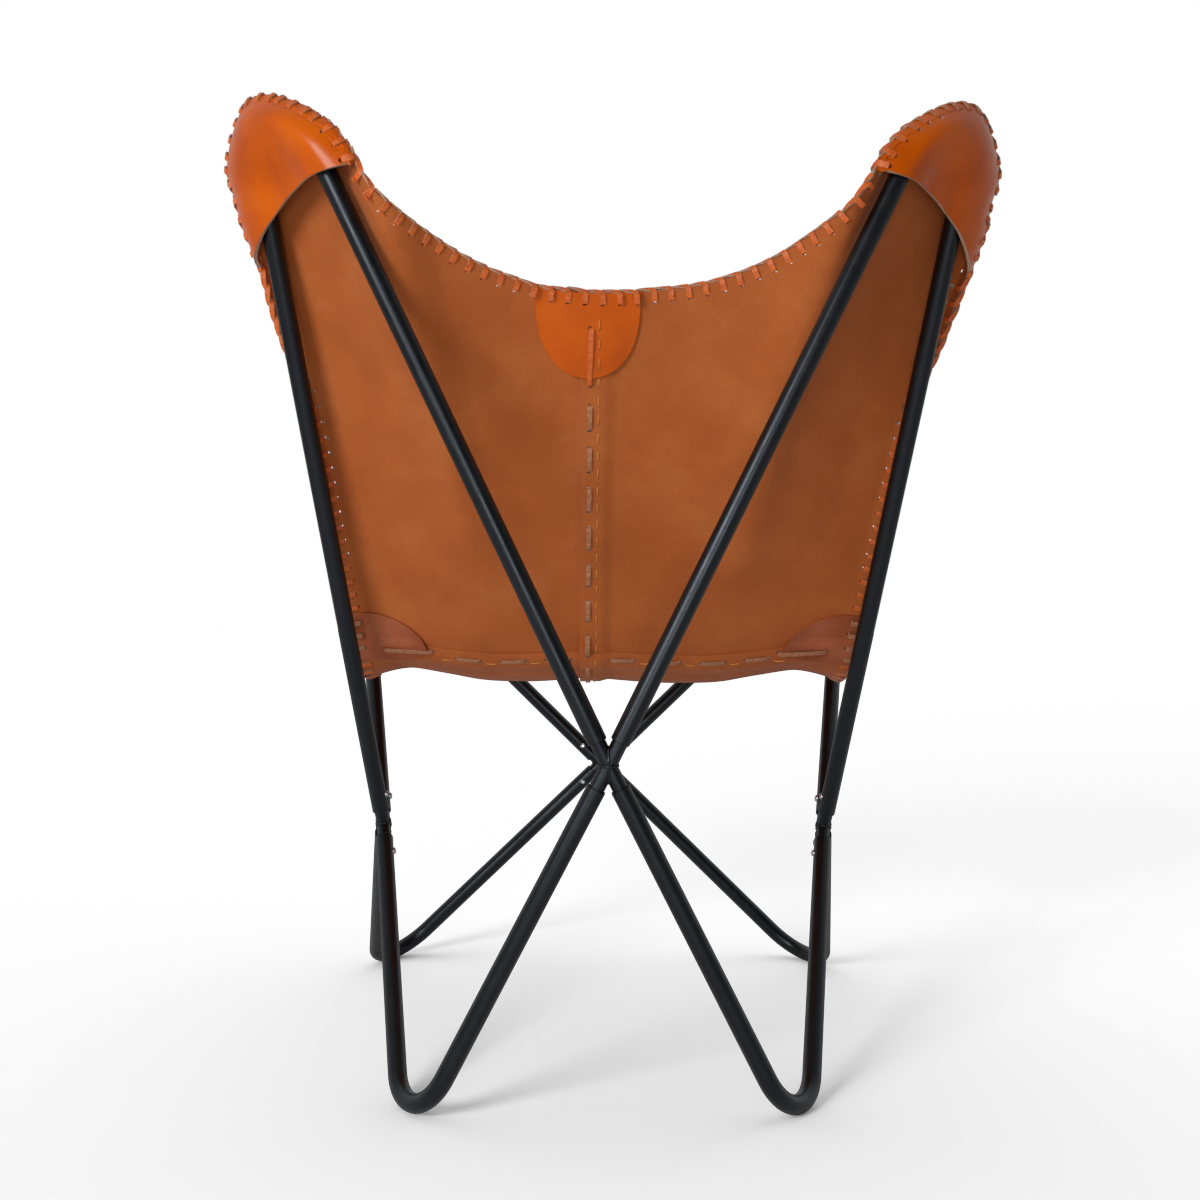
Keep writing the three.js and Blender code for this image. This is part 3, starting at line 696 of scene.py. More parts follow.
# Sling surface
class Line:
    """Centripetal Catmull-Rom line through a few points, read by its share of length."""

    def __init__(self, points):
        p = np.array(points, float)
        p = np.vstack([2 * p[0] - p[1], p, 2 * p[-1] - p[-2]])
        knots = np.sqrt(np.linalg.norm(np.diff(p, axis=0), axis=1))
        t = np.linspace(0, 1, LINE_STEPS, endpoint=False)[:, None]
        parts = []
        for k in range(1, len(p) - 2):
            before, here, after = knots[k - 1:k + 2]
            a, b, c, d = p[k - 1:k + 3]
            leave = ((b - a) / before - (c - a) / (before + here) + (c - b) / here) * here
            arrive = ((c - b) / here - (d - b) / (here + after) + (d - c) / after) * here
            parts.append(b + leave * t + (3 * (c - b) - 2 * leave - arrive) * t ** 2
                         + (2 * (b - c) + leave + arrive) * t ** 3)
        self.points = np.vstack([*parts, p[-2]])
        self.run = np.concatenate([[0], np.cumsum(np.linalg.norm(np.diff(self.points, axis=0), axis=1))])
        self.length = self.run[-1]

    def at(self, share):
        where = np.asarray(share) * self.length
        return np.stack([np.interp(where, self.run, self.points[:, k]) for k in range(3)], axis=-1)

    def nearest(self, target):
        return self.run[np.argmin(np.linalg.norm(self.points - target, axis=1))] / self.length


def coons(start, end, left, right, u, v):
    """Point of the patch between four lines that share their corners."""
    u = u[..., None]
    v = v[..., None]
    along = lerp(start.at(u[..., 0]), end.at(u[..., 0]), v)
    across = lerp(left.at(v[..., 0]), right.at(v[..., 0]), u)
    corners = lerp(lerp(start.points[0], start.points[-1], u), lerp(end.points[0], end.points[-1], u), v)
    return along + across - corners


def hang_points(a, b, power):
    """Points of an edge, level at the centre a, that rises to the horn at b, the later the higher the power."""
    shares = np.array([[0.25], [0.5], [0.75]])
    points = lerp(a, b, shares ** power)
    points[:, 0] = lerp(a[0], b[0], shares[:, 0])
    return points


class TubeCorner:
    """Plane of an upper bent tube: down its middle, outwards across it, and up on the sitter's side."""

    def __init__(self, tip, side, centre_cross):
        self.corner = mirrored(tip, side)
        self.bend = tip[3]
        to_centre = unit(CROSSINGS[centre_cross] - self.corner)
        to_side = unit(CROSSINGS[side_cross(side)] - self.corner)
        self.down = unit(to_centre + to_side)
        self.half = math.acos(np.dot(to_centre, to_side)) / 2
        self.up = unit(np.cross(to_side, to_centre))
        self.up = self.up * np.sign(self.up[2])
        self.out = unit(to_side - to_centre)
        self.reach = self.bend / math.sin(self.half) - self.bend - TUBE_R

    def at(self, lateral, below, height):
        return (self.corner + np.multiply.outer(lateral, self.out) + np.multiply.outer(below, self.down)
                + np.multiply.outer(height, self.up))

    def local(self, points):
        away = points - self.corner
        return away @ self.out, away @ self.down, away @ self.up

    def leg_width(self, below):
        return below * math.tan(self.half) + TUBE_R

    def cleared(self, points):
        """Points lifted on to the tubes where they would lie lower."""
        lateral, below, height = self.local(points)
        fade = smoothstep(self.reach + 2 * LIFT_RUN - below, 0, LIFT_RUN)
        beside = np.abs(lateral) - self.leg_width(np.maximum(below, self.reach))
        within = 1 - smoothstep(beside, 0, LIFT_BESIDE)
        short = np.maximum(0, SIT_HEIGHT - height)
        return points + (short * fade * within)[..., None] * self.up

    def outside_tube(self, lateral, below):
        """Distance in the plane, outwards from the tube's centreline."""
        centre = self.bend / math.sin(self.half)
        from_leg = np.abs(lateral) * math.cos(self.half) - below * math.sin(self.half)
        from_centre = np.hypot(lateral, below - centre) - self.bend
        return np.where(below + np.abs(lateral) * math.tan(self.half) < centre, from_centre, from_leg)

    def horn(self, size, side):
        """Outline of the sling's horn, from its inner root over the tip to the outer end of the pocket's mouth."""
        mouth = size["mouth"]
        mouth_below = self.reach + mouth
        inner_below = self.reach + size["inner_mouth"]
        shoulder = self.reach + mouth * size["shoulder"]
        shift = side * size["hang_shift"]
        inner = lambda below: -self.leg_width(below) - size["inner_margin"] - shift
        outer = lambda below: self.leg_width(below) + size["outer_margin"] - shift
        curled = SIT_HEIGHT - HORN_CURL
        shoulder_height = SIT_HEIGHT - SHOULDER_CURL
        outer_end = outer(mouth_below)
        side_below = mouth_below - mouth * size["side_rise"]
        end_below = mouth_below + mouth * size["mouth_drop"]
        return {
            "inner_root": self.at(inner(mouth_below), mouth_below, SIT_HEIGHT),
            "inner_mouth": self.at(inner(inner_below), inner_below, SIT_HEIGHT),
            "inner_shoulder": self.at(inner(shoulder) * size["inner_shoulder"], shoulder, SIT_HEIGHT),
            "tip": self.at(size["tip_offset"] - shift / 2, self.reach - size["tip_margin"], SIT_HEIGHT),
            "outer_shoulder": self.at(outer(shoulder) * size["outer_shoulder"], shoulder, shoulder_height),
            "outer_side": self.at(outer_end - HORN_SIDE_INSET, side_below, curled),
            "outer_mouth": self.at(outer_end - HORN_MOUTH_INSET, end_below, curled),
        }


class Half:
    """One half of the sling: u runs from the centre seam to the side edge, v from 0 at the top, 1 at the cross
    seam, to 2 at the front."""

    def __init__(self, side):
        self.side = side
        self.rear = TubeCorner(CORNERS["rear", "upright"], side, "rear_cross")
        self.front = TubeCorner(CORNERS["front", "upright"], side, "front_cross")
        rear_horn = self.rear.horn(REAR_HORN, side)
        front_horn = self.front.horn(FRONT_HORN, side)
        on_centre = (BACK_TOP, SEAM_CENTRE, SEAT_FRONT, SEAT_LOW)
        top, seam, lip, low = (np.array([SEAM_SHIFT, *place]) for place in on_centre)
        seam_side = mirrored(SEAM_SIDE, side)
        low_side = np.array([seam_side[0], SEAT_LOW[0], SEAT_SIDE_HEIGHT])
        sag = lambda a, b, drop: lerp(a, b, 0.5) - np.array([0, 0, drop])
        turn = lambda a, b: np.array([*lerp(a, b, TURN_SHARE)[:2], b[2] + TURN_RISE])
        drawn = lambda at: (lerp(rear_horn["outer_mouth"], seam_side, at["share"])
                            - np.array([at["pull"] * side, 0, at["sag"]]))
        over_horn = ("inner_root", "inner_shoulder", "tip", "outer_shoulder", "outer_side")
        hung_edge = lambda a, horn, power: Line([a, *hang_points(a, horn["inner_root"], power),
                                                 *(horn[word] for word in over_horn)])
        self.top = hung_edge(top, rear_horn, HANG_POWER - side * HANG_SKEW)
        self.edge = Line([rear_horn["outer_side"], rear_horn["outer_mouth"], drawn(EDGE_UPPER), drawn(EDGE_LOWER),
                          seam_side])
        self.seam = Line([seam, sag(seam, seam_side, SEAM_SAG), seam_side])
        self.centre = Line([top, sag(top, seam, BACK_HOLLOW), seam])
        self.seat_centre = Line([seam, turn(seam, low), low, sag(low, lip, SEAT_HOLLOW), lip])
        self.seat_edge = Line([seam_side, turn(seam_side, low_side), low_side, front_horn["outer_mouth"],
                               front_horn["outer_side"]])
        self.lip = hung_edge(lip, front_horn, HANG_POWER)
        # Each pocket's plane, the arch of its mouth, and its edge: v of the end, u of its start and v of its finish
        self.pockets = {
            "rear": (self.rear, REAR_HORN["mouth_arch"], 0.0, self.top.nearest(rear_horn["inner_mouth"]),
                     self.edge.nearest(rear_horn["outer_mouth"])),
            "front": (self.front, FRONT_HORN["mouth_arch"], 2.0, self.lip.nearest(front_horn["inner_mouth"]),
                      1 + self.seat_edge.nearest(front_horn["outer_mouth"])),
        }

    def sitting(self, u, v):
        v = np.clip(v, 0, 2)
        points = np.empty((*u.shape, 3))
        back = v <= 1
        points[back] = self.rear.cleared(coons(self.top, self.seam, self.centre, self.edge, u[back], v[back]))
        points[~back] = self.front.cleared(
            coons(self.seam, self.lip, self.seat_centre, self.seat_edge, u[~back], v[~back] - 1))
        return points

    def hung(self, u, v):
        """Sitting face with the fold between back and seat as round as hide takes it."""
        u, v = as_arrays(u, v)
        reach = FOLD_SHARE * (1 - smoothstep(np.abs(v - 1), 0.5 * FOLD_SHARE, 2.5 * FOLD_SHARE))
        shifts = np.linspace(-1, 1, FOLD_SAMPLES)
        return sum(self.sitting(u, v + shift * reach) for shift in shifts) / len(shifts)

    def outward(self, u, v):
        """Unit normal away from the sitter, read just inside the edges."""
        step = 0.015
        u = np.clip(u, step, 1 - 2 * step)
        v = np.clip(v, 2 * step, 2 - 2 * step)
        across = self.hung(u + step, v) - self.hung(u - step, v)
        down = self.hung(u, v + step) - self.hung(u, v - step)
        return unit(np.cross(across, down)) * self.side

    def width(self, v):
        """Length across the half at v, in millimetres."""
        v = np.asarray(v, float)
        back = lerp(self.top.length, self.seam.length, np.clip(v, 0, 1))
        return np.where(v <= 1, back, lerp(self.seam.length, self.lip.length, np.clip(v - 1, 0, 1)))


halves = {1: Half(1), -1: Half(-1)}
BACK_RUN = halves[1].centre.length
SEAT_RUN = halves[1].seat_centre.length


def by_half(read, s, *values):
    """What read gives for each half at signed shares s, positive to the sitter's left."""
    s, *values = as_arrays(s, *values)
    found = np.empty((*s.shape, 3))
    for side, half in halves.items():
        here = s >= 0 if side > 0 else s < 0
        found[here] = read(half, np.abs(s[here]), *(value[here] for value in values))
    return found


def sling(s, v, depth):
    """Point of the hung sling, a depth behind the sitting face."""
    return by_half(lambda half, u, v, depth: half.hung(u, v) + half.outward(u, v) * depth[:, None], s, v, depth)


def sling_normal(s, v):
    return by_half(Half.outward, s, v)


def share_of(x, v):
    """Signed share for x millimetres from the centre seam."""
    x, v = as_arrays(x, v)
    return np.where(x >= 0, x / halves[1].width(v), x / halves[-1].width(v))


sheets = {}


def add_sheet(name, inner, outer, finishes, slot, node, painted_shade_edge=False):
    """Closed hide between two matching grids, with finishes for its inner face, outer face and edge. A first row
    with painted shade has an edge as dark as the outer face: its finish, not the pale cut edge, for the lap's
    shadow."""
    rows, columns = inner.shape[:2]
    size = rows * columns
    points = np.concatenate([inner.reshape(-1, 3), outer.reshape(-1, 3)])
    at = np.arange(size).reshape(rows, columns)
    quads = np.stack([at[:-1, :-1], at[:-1, 1:], at[1:, 1:], at[1:, :-1]], axis=-1).reshape(-1, 4)
    rim = np.concatenate([at[0, :], at[1:, -1], at[-1, -2::-1], at[-2:0:-1, 0]])
    following = np.roll(rim, -1)
    sides = np.stack([following, rim, rim + size, following + size], axis=-1)
    faces = np.concatenate([quads, quads[:, ::-1] + size, sides])
    materials = list(dict.fromkeys(finishes))
    indices = np.repeat([materials.index(finish) for finish in finishes], [len(quads), len(quads), len(sides)])
    # Painted shade: the first row's edge takes the outer face's finish, darker than the cut edge, for the shadow
    # along the lap
    if painted_shade_edge:
        indices[2 * len(quads):2 * len(quads) + columns - 1] = materials.index(finishes[1])
    piece = faces_outward(link_mesh(name, points, faces.tolist(), materials, indices))
    sheets[name] = (piece, inner, slot, node)


def flat_size(grid):
    """Widest row, longest column and area of a sheet's grid, in metres."""
    across = np.linalg.norm(np.diff(grid, axis=1), axis=2).sum(axis=1).max() * MM
    down = np.linalg.norm(np.diff(grid, axis=0), axis=2).sum(axis=0).max() * MM
    cells = np.cross(grid[1:, 1:] - grid[:-1, :-1], grid[1:, :-1] - grid[:-1, 1:])
    area = np.linalg.norm(cells, axis=2).sum() / 2 * MM * MM
    return (round(across, 3), round(down, 3)), round(float(area), 4)


# Panels: the right half laps over the left, and each seat panel over its back panel
def centre_lap(s, v):
    """Rise of the right half over the left one, from 0 to 1."""
    x = s * np.where(s >= 0, halves[1].width(v), halves[-1].width(v))
    return smoothstep(x, -LAP_UNDER - LAP_RAMP, -LAP_UNDER)


def cross_lap(v):
    """Rise of a seat panel over its back panel, from 1 to 0."""
    return 1 - smoothstep((v - 1) * SEAT_RUN, CROSS_LAP_UNDER, CROSS_LAP_UNDER + LAP_RAMP)


def panel_grid(side, v_rows):
    v = np.asarray(v_rows)[:, None]
    u = np.linspace(0, 1, PANEL_COLUMNS)[None, :]
    start = share_of(-LAP_UNDER if side > 0 else LAP_OVER, v)
    return lerp(start, float(side), u), np.broadcast_to(v, (len(v_rows), PANEL_COLUMNS))


for word, side in SIDES.items():
    back_rows = np.linspace(0, 1 + CROSS_LAP_UNDER / SEAT_RUN, PANEL_ROWS)
    seat_rows = np.linspace(1 - CROSS_LAP_OVER / BACK_RUN, 2, PANEL_ROWS)
    for part, rows in (("back", back_rows), ("seat", seat_rows)):
        s, v = panel_grid(side, rows)
        depth = np.zeros_like(s)
        thickness = np.full_like(s, HIDE)
        if side < 0:
            depth = depth + LAP_RISE * centre_lap(s, v)
        if part == "seat":
            depth = depth + LAP_RISE * cross_lap(v)
            thickness = HIDE * lerp(SKIVED_SHARE, 1.0, smoothstep(v, rows[0], rows[0] + SKIVE_RUN / BACK_RUN))
        elif side < 0:
            near_cross = smoothstep(v, 1 - 2 * LAP_RAMP / BACK_RUN, 1 - CROSS_LAP_OVER / BACK_RUN)
            depth = depth + LAP_RISE * near_cross * smoothstep(s, *CENTRE_STEP)
        # The seat panel's lapped edge gets painted shade: the outer face's finish instead of the pale cut edge
        add_sheet(f"{part}_{word}_hide", sling(s, v, depth), sling(s, v, depth + thickness),
                  (SEAT_GRAIN, BACK_FLESH, CUT_EDGE), f"{part}_leather", f"{part}_{word}_panel",
                  painted_shade_edge=part == "seat")


# Pockets over the tube tips
def pocket_rim(half, edge_v, start, end):
    """Line just behind the sling's outer face, along the edge that a pocket is laced to."""
    share = np.linspace(0, 2, POCKET_COLUMNS)
    u = np.where(share <= 1, lerp(start, 1.0, share), 1.0)
    v = np.where(share <= 1, edge_v, lerp(edge_v, end, share - 1))
    return sling(half.side * u, v, HIDE + LAYER_GAP)


def pocket_leaf(plane, rim, mouth_arch):
    """Inner face of the leaf behind a tip: laced at its rim, drawn round the tube and slack between its legs."""
    lateral, below, height = plane.local(rim)
    share = np.linspace(0, 1, len(rim))
    b = np.linspace(0, 1, POCKET_ROWS)[:, None] ** LEAF_ROW_POWER
    mouth_lateral = lerp(lateral[0], lateral[-1], share)
    mouth_below = lerp(below[0], below[-1], share) - mouth_arch * 4 * share * (1 - share)
    leaf_lateral = lerp(lateral, mouth_lateral, b)
    leaf_below = lerp(below, mouth_below, b)
    outside = plane.outside_tube(leaf_lateral, leaf_below)
    reach = np.hypot(leaf_lateral[..., None] - lateral, leaf_below[..., None] - below).min(axis=-1)
    beyond = np.maximum(outside, 0)
    rise = (beyond / np.maximum(beyond + reach, 1e-6)) ** WRAP_POWER
    bulge = -(TUBE_R + POCKET_ROOM)
    slack = POCKET_SLACK * smoothstep(-outside, *SLACK_BAND)
    return plane.at(leaf_lateral, leaf_below, lerp(bulge + slack, height, rise))


def offset_grid(grid, away, distance):
    """The grid moved along its own normals, on the side that away points to."""
    normals = np.cross(np.gradient(grid, axis=0), np.gradient(grid, axis=1))
    normals = normals / np.maximum(np.linalg.norm(normals, axis=2, keepdims=True), 1e-9)
    signs = np.sign(normals @ away)[..., None]
    return grid + normals * signs * distance


leaves = {}
for word, side in SIDES.items():
    half = halves[side]
    for end, (plane, mouth_arch, *span) in half.pockets.items():
        rim = pocket_rim(half, *span)
        inner = pocket_leaf(plane, rim, mouth_arch)
        outer = offset_grid(inner, -plane.up, HIDE)
        leaves[side, end] = (rim, inner, outer)
        add_sheet(f"{end}_{word}_pocket_hide", inner, outer, (BACK_FLESH, POCKET_GRAIN, CUT_EDGE), "pocket_leather",
                  f"{end}_{word}_pocket")


# Patches on the outer face
def add_patch(node, s, v, depth, finish, slot):
    # Painted shade: the patch's edge takes its face finish, darker than the pale cut edge, for the shadow along its
    # rim
    add_sheet(f"{node}_hide", sling(s, v, depth), sling(s, v, depth + PATCH_HIDE), (BACK_FLESH, finish, finish),
              slot, node)


tongue = np.linspace(0, 1, 40)[:, None]
over = np.linspace(-1, 1, 41)[None, :]


def tongue_width(power):
    """Half width of a tongue's rows, from 1 at its root to a blunt end."""
    return np.sqrt(np.maximum(1 - tongue ** power, TONGUE_BLUNT))


top_v = tongue * TOP_PATCH_DEPTH / BACK_RUN + 0 * over
top_x = TOP_PATCH_MIDDLE + TOP_PATCH_HALF * tongue_width(TOP_TONGUE_POWER) * over
top_s = share_of(top_x, top_v)
off_middle = np.abs(top_x - TOP_PATCH_MIDDLE)
top_depth = HIDE + LAYER_GAP + LAP_RISE * smoothstep(off_middle, TOP_PATCH_HALF, TOP_PATCH_FLAT)
add_patch("top_centre_patch", top_s, top_v, top_depth, POCKET_GRAIN, "pocket_leather")

for word, side in SIDES.items():
    half = halves[side]
    tall = tongue_width(SIDE_TONGUE_POWER) * over
    side_v = 1 + np.where(tall < 0, tall * SIDE_PATCH["above"] / half.edge.length,
                          tall * SIDE_PATCH["below"] / half.seat_edge.length)
    side_s = side * (1 - tongue * SIDE_PATCH["length"] / half.width(side_v))
    on_lap = smoothstep(side_v, 1 - SIDE_PATCH_RAMP / BACK_RUN, 1 - CROSS_LAP_OVER / BACK_RUN)
    side_depth = HIDE + LAYER_GAP + LAP_RISE * on_lap * cross_lap(side_v)
    add_patch(f"{word}_seam_patch", side_s, side_v, side_depth, PATCH_GRAIN, "patch_leather")


# Lacing round the whole edge
class EdgeRun:
    """The sling's edge as one closed line."""

    def __init__(self):
        shares = np.linspace(0, 1, EDGE_STEPS)
        onward = shares[1:]
        ones = np.ones_like(onward)
        u = np.maximum(np.concatenate([shares, ones, ones, shares[-2::-1]]), 1e-6)
        v = np.concatenate([0 * shares, onward, 1 + onward, 2 * ones])
        self.s = np.concatenate([u, -u[::-1]])
        self.v = np.concatenate([v, v[::-1]])
        self.points = sling(self.s, self.v, 0)
        self.normals = sling_normal(self.s, self.v)
        gaps = np.linalg.norm(np.diff(np.vstack([self.points, self.points[:1]]), axis=0), axis=1)
        self.run = np.concatenate([[0], np.cumsum(gaps)])
        self.length = self.run[-1]

    def read(self, where, values):
        closed = np.concatenate([values, values[:1]])
        return np.stack([np.interp(where, self.run, closed[:, k]) for k in range(closed.shape[1])], axis=-1)

    def frames(self, where):
        """Place, direction along the edge, inward direction and outer normal at distances along the edge."""
        step = 4.0
        place = self.read(where, self.points)
        ahead = self.read(np.mod(where + step, self.length), self.points)
        behind = self.read(np.mod(where - step, self.length), self.points)
        along = unit(ahead - behind)
        normal = square_to(self.read(where, self.normals), along)
        return place, along, np.cross(normal, along), normal


def pocket_at(s, v):
    """The pocket that is laced to an edge point, by its side and end."""
    side = 1 if s > 0 else -1
    u = abs(s)
    *_, rear_start, rear_end = halves[side].pockets["rear"]
    *_, front_start, front_end = halves[side].pockets["front"]
    if (v == 0 and u > rear_start) or (u >= 1 and v < rear_end):
        return side, "rear"
    if (v == 2 and u > front_start) or (u >= 1 and v > front_end):
        return side, "front"
    return None


def zone_at(s, v):
    """What the lace goes round at an edge point."""
    if pocket_at(s, v):
        return "pocket"
    half = halves[1 if s > 0 else -1]
    if v == 0 and abs(s * half.width(v) - TOP_PATCH_MIDDLE) < TOP_PATCH_HALF:
        return "top_patch"
    patch_top = -SIDE_PATCH["above"] / half.edge.length
    patch_foot = SIDE_PATCH["below"] / half.seat_edge.length
    if abs(s) >= 1 and patch_top < v - 1 < patch_foot:
        return "seam_patch"
    return "plain"


def strap(centres, normals, width, thick):
    """Flat strap along a short path: points, faces and the numbers of its cut faces."""
    centres = np.array(centres, float)
    normals = np.array(normals, float)
    ways = unit(np.gradient(centres, axis=0))
    broad = unit(np.cross(ways, normals))
    proud = np.cross(broad, ways)
    corners = [(-1, -1), (1, -1), (1, 1), (-1, 1)]
    rings = [np.array([c + a * width / 2 * w + b * thick / 2 * p for a, b in corners])
             for c, w, p in zip(centres, broad, proud)]
    points, faces = lofted(rings)
    raw = {4 * i + j for i in range(len(rings) - 1) for j in (1, 3)}
    return points, faces, raw


def whip_shape(stack, pitch, part):
    """One whip stitch, x along the edge, y inwards and z outwards: from its hole over the edge to the next one."""
    back = stack / 2
    inset = LACE_HOLE_INSET
    lift = THONG_THICK / 2
    centres = [(0, inset + 0.4, back - 2.5), (0, inset - 0.4, back + 0.3), (0, inset * 0.55, back + lift + 0.2),
               (0, 0.8, back + lift), (0.1 * pitch, -lift - 0.1, back * 0.7), (0.5 * pitch, -lift - 0.5, 0),
               (0.9 * pitch, -lift - 0.1, -back * 0.7), (pitch, 0.8, -back - lift),
               (pitch, inset * 0.55, -back - lift - 0.2), (pitch, inset - 0.4, -back - 0.3),
               (pitch, inset + 0.4, -back + 2.5)]
    normals = [(0, 1, 1), (0, 0.4, 1), (0, 0, 1), (0, -0.5, 1), (0, -1, 0.4), (0, -1, 0), (0, -1, -0.4),
               (0, -0.5, -1), (0, 0, -1), (0, 0.4, -1), (0, 1, -1)]
    return shape_object(*strap(centres[part], normals[part], THONG_WIDTH, THONG_THICK))


edge = EdgeRun()
lace_count = round(edge.length / LACE_PITCH)
lace_where = (np.arange(lace_count) + 0.5) * edge.length / lace_count
spots = [np.argmin(np.abs(edge.run[:-1] - where)) for where in lace_where]
lace_zone = np.array([zone_at(edge.s[k], edge.v[k]) for k in spots])
lace_stack = np.array([STACKS[zone] for zone in lace_zone])[:, None]
place, along, inward, outward = edge.frames(lace_where)
lace_middle = place + outward * lace_stack / 2
lace_turns = quaternions(along, inward, outward)
in_pocket = lace_zone == "pocket"
pitch = edge.length / lace_count


def leaf_frames(places, pockets):
    """Middle of the rim, turn and hole on the pockets' own outer faces, for edge places laced to them."""
    middles, turns, holes = [], [], []
    for place, (side, end) in zip(places, pockets):
        rim, inner, outer = leaves[side, end]
        column = np.clip(np.argmin(np.linalg.norm(rim - place, axis=1)), 1, len(rim) - 2)
        start = outer[0, column]
        along = unit(outer[0, column + 1] - outer[0, column - 1])
        away = outer.reshape(-1, 3) - start
        misfit = np.abs(np.linalg.norm(away, axis=1) - LACE_HOLE_INSET) + 2 * np.abs(away @ along)
        hole = start + away[np.argmin(misfit)]
        inward = unit(hole - start)
        normal = np.cross(along, inward)
        normal = unit(normal * np.sign(np.dot(normal, start - inner[0, column])))
        middles.append(start - normal * (STACKS["pocket"] / 2 - LEAF_LIFT))
        turns.append(quaternion_of(np.cross(inward, normal), inward, normal))
        holes.append(hole)
    return np.array(middles), np.array(turns), np.array(holes)


leaf_middle, leaf_turns, leaf_holes = leaf_frames(
    place[in_pocket], [pocket_at(edge.s[k], edge.v[k]) for k, laced in zip(spots, in_pocket) if laced])

lace_runs = [(zone, WHOLE_STITCH, lace_middle[lace_zone == zone], lace_turns[lace_zone == zone])
             for zone in ("plain", "top_patch", "seam_patch")]
lace_runs += [("pocket", INNER_HALF, lace_middle[in_pocket], lace_turns[in_pocket]),
              ("pocket", OUTER_HALF, leaf_middle, leaf_turns)]
for number, (zone, part, middles, turns) in enumerate(lace_runs):
    whip = whip_shape(STACKS[zone], pitch, part)
    finish = SEAM_THONG if zone == "seam_patch" else THONG
    stitches = repeated(f"edge_thong_{number}", whip, middles, turns, finish, RAW_THONG, WHIP_SHAKE, number + 3)
    keep(stitches, "lace", "edge_lace")


# Thong and thread along the seams
def seam_frames(line, length, sitting):
    """Places and axes of stitches along a seam line, from end to end over what lies between, on the outer or the
    sitting face."""
    s_of, v_of, distances, run = line

    def on_face(t):
        s, v = s_of(t), v_of(t)
        return sling(s, v, np.zeros_like(s) if sitting else outer_depth(s, v))

    t = np.asarray(distances) / run
    reach = length / 2 / run
    first, middle, last = on_face(t - reach), on_face(t), on_face(t + reach)
    along = unit(last - first)
    normal = square_to(sling_normal(s_of(t), v_of(t)) * (-1 if sitting else 1), along)
    chord = (first + last) / 2
    rise = np.maximum(np.sum((middle - chord) * normal, axis=1, keepdims=True), 0)
    return chord + normal * rise, along, np.cross(normal, along), normal


def outer_depth(s, v):
    """Depth of the outermost hide, laps and patches included."""
    width = halves[1].width(v)
    x = s * width
    depth = HIDE + LAP_RISE * np.where(x < LAP_OVER, centre_lap(s, v), 0)
    depth = depth + LAP_RISE * np.where(v > 1 - CROSS_LAP_OVER / BACK_RUN, cross_lap(v), 0)
    above_tip = v * BACK_RUN < TOP_PATCH_DEPTH - TOP_PATCH_TIP
    on_top_patch = above_tip & (np.abs(x - TOP_PATCH_MIDDLE) < TOP_PATCH_HALF)
    from_side = (1 - np.abs(s)) * width
    on_side_patch = (from_side < SIDE_PATCH["length"]) & (np.abs(v - 1) * SEAT_RUN < SIDE_PATCH["below"])
    return depth + np.where(on_top_patch | on_side_patch, PATCH_HIDE + LAYER_GAP, 0)


def running_shape(length):
    """One running stitch of thong, x along it and z outwards, that dips into a hole at each end."""
    reach = length / 2
    lift = THONG_THICK / 2 + 0.3
    centres = [(-reach - 0.3, 0, -2.0), (-reach + 0.5, 0, 0.1), (-reach + 3.0, 0, lift), (0, 0, lift + 0.3),
               (reach - 3.0, 0, lift), (reach - 0.5, 0, 0.1), (reach + 0.3, 0, -2.0)]
    normals = [(-1, 0, 0.6), (-0.5, 0, 1), (0, 0, 1), (0, 0, 1), (0, 0, 1), (0.5, 0, 1), (1, 0, 0.6)]
    return shape_object(*strap(centres, normals, THONG_WIDTH * 0.9, THONG_THICK))


def thread_shape(length):
    """One thread stitch: a short round rod that dips at both ends."""
    t = np.linspace(-1, 1, 7)
    centres = np.stack([t * length / 2, 0 * t, 0.45 - 1.6 * t ** 6], axis=1)
    rings = round_rings(centres, unit(np.gradient(centres, axis=0)), [THREAD_R] * 7, 6, np.array([0.0, 1.0, 0.0]))
    return shape_object(*lofted(rings))


thong_ends = []
thread_ends = []


def stitched(name, shape_of, length, lines, finish, seed, ends=None, nodes=()):
    """Keeps stitches of one length along several seam lines. Outer ones note their ends for punching, and those
    without such a list lie on the sitting face."""
    place, along, across, normal = (
        np.concatenate(each) for each in zip(*(seam_frames(line, length, ends is None) for line in lines)))
    turns = quaternions(along, across, normal)
    piece = repeated(name, shape_of(length), place, turns, finish, RAW_THONG, STITCH_SHAKE, seed)
    if ends is not None:
        for way in (-1, 1):
            ends.extend(zip(place + way * along * length / 2, turns))
    keep(piece, "lace", *nodes)


def centre_v(t):
    """Share down the sling at t of the back's length along the centre seam, and on over the seat."""
    return np.where(t <= 1, t, 1 + (t - 1) * BACK_RUN / SEAT_RUN)


def centre_line(across, distances):
    return (lambda t: share_of(across, centre_v(t)), centre_v, distances, BACK_RUN)


def cross_line(side, beyond, distances):
    """Line beyond the cross seam on the seat's side, from the centre outwards."""
    offset = 1 + beyond / SEAT_RUN
    along = lambda t: side * np.clip(t, 0, 1)
    return along, lambda t: np.full_like(t, offset), distances, halves[side].seam.length


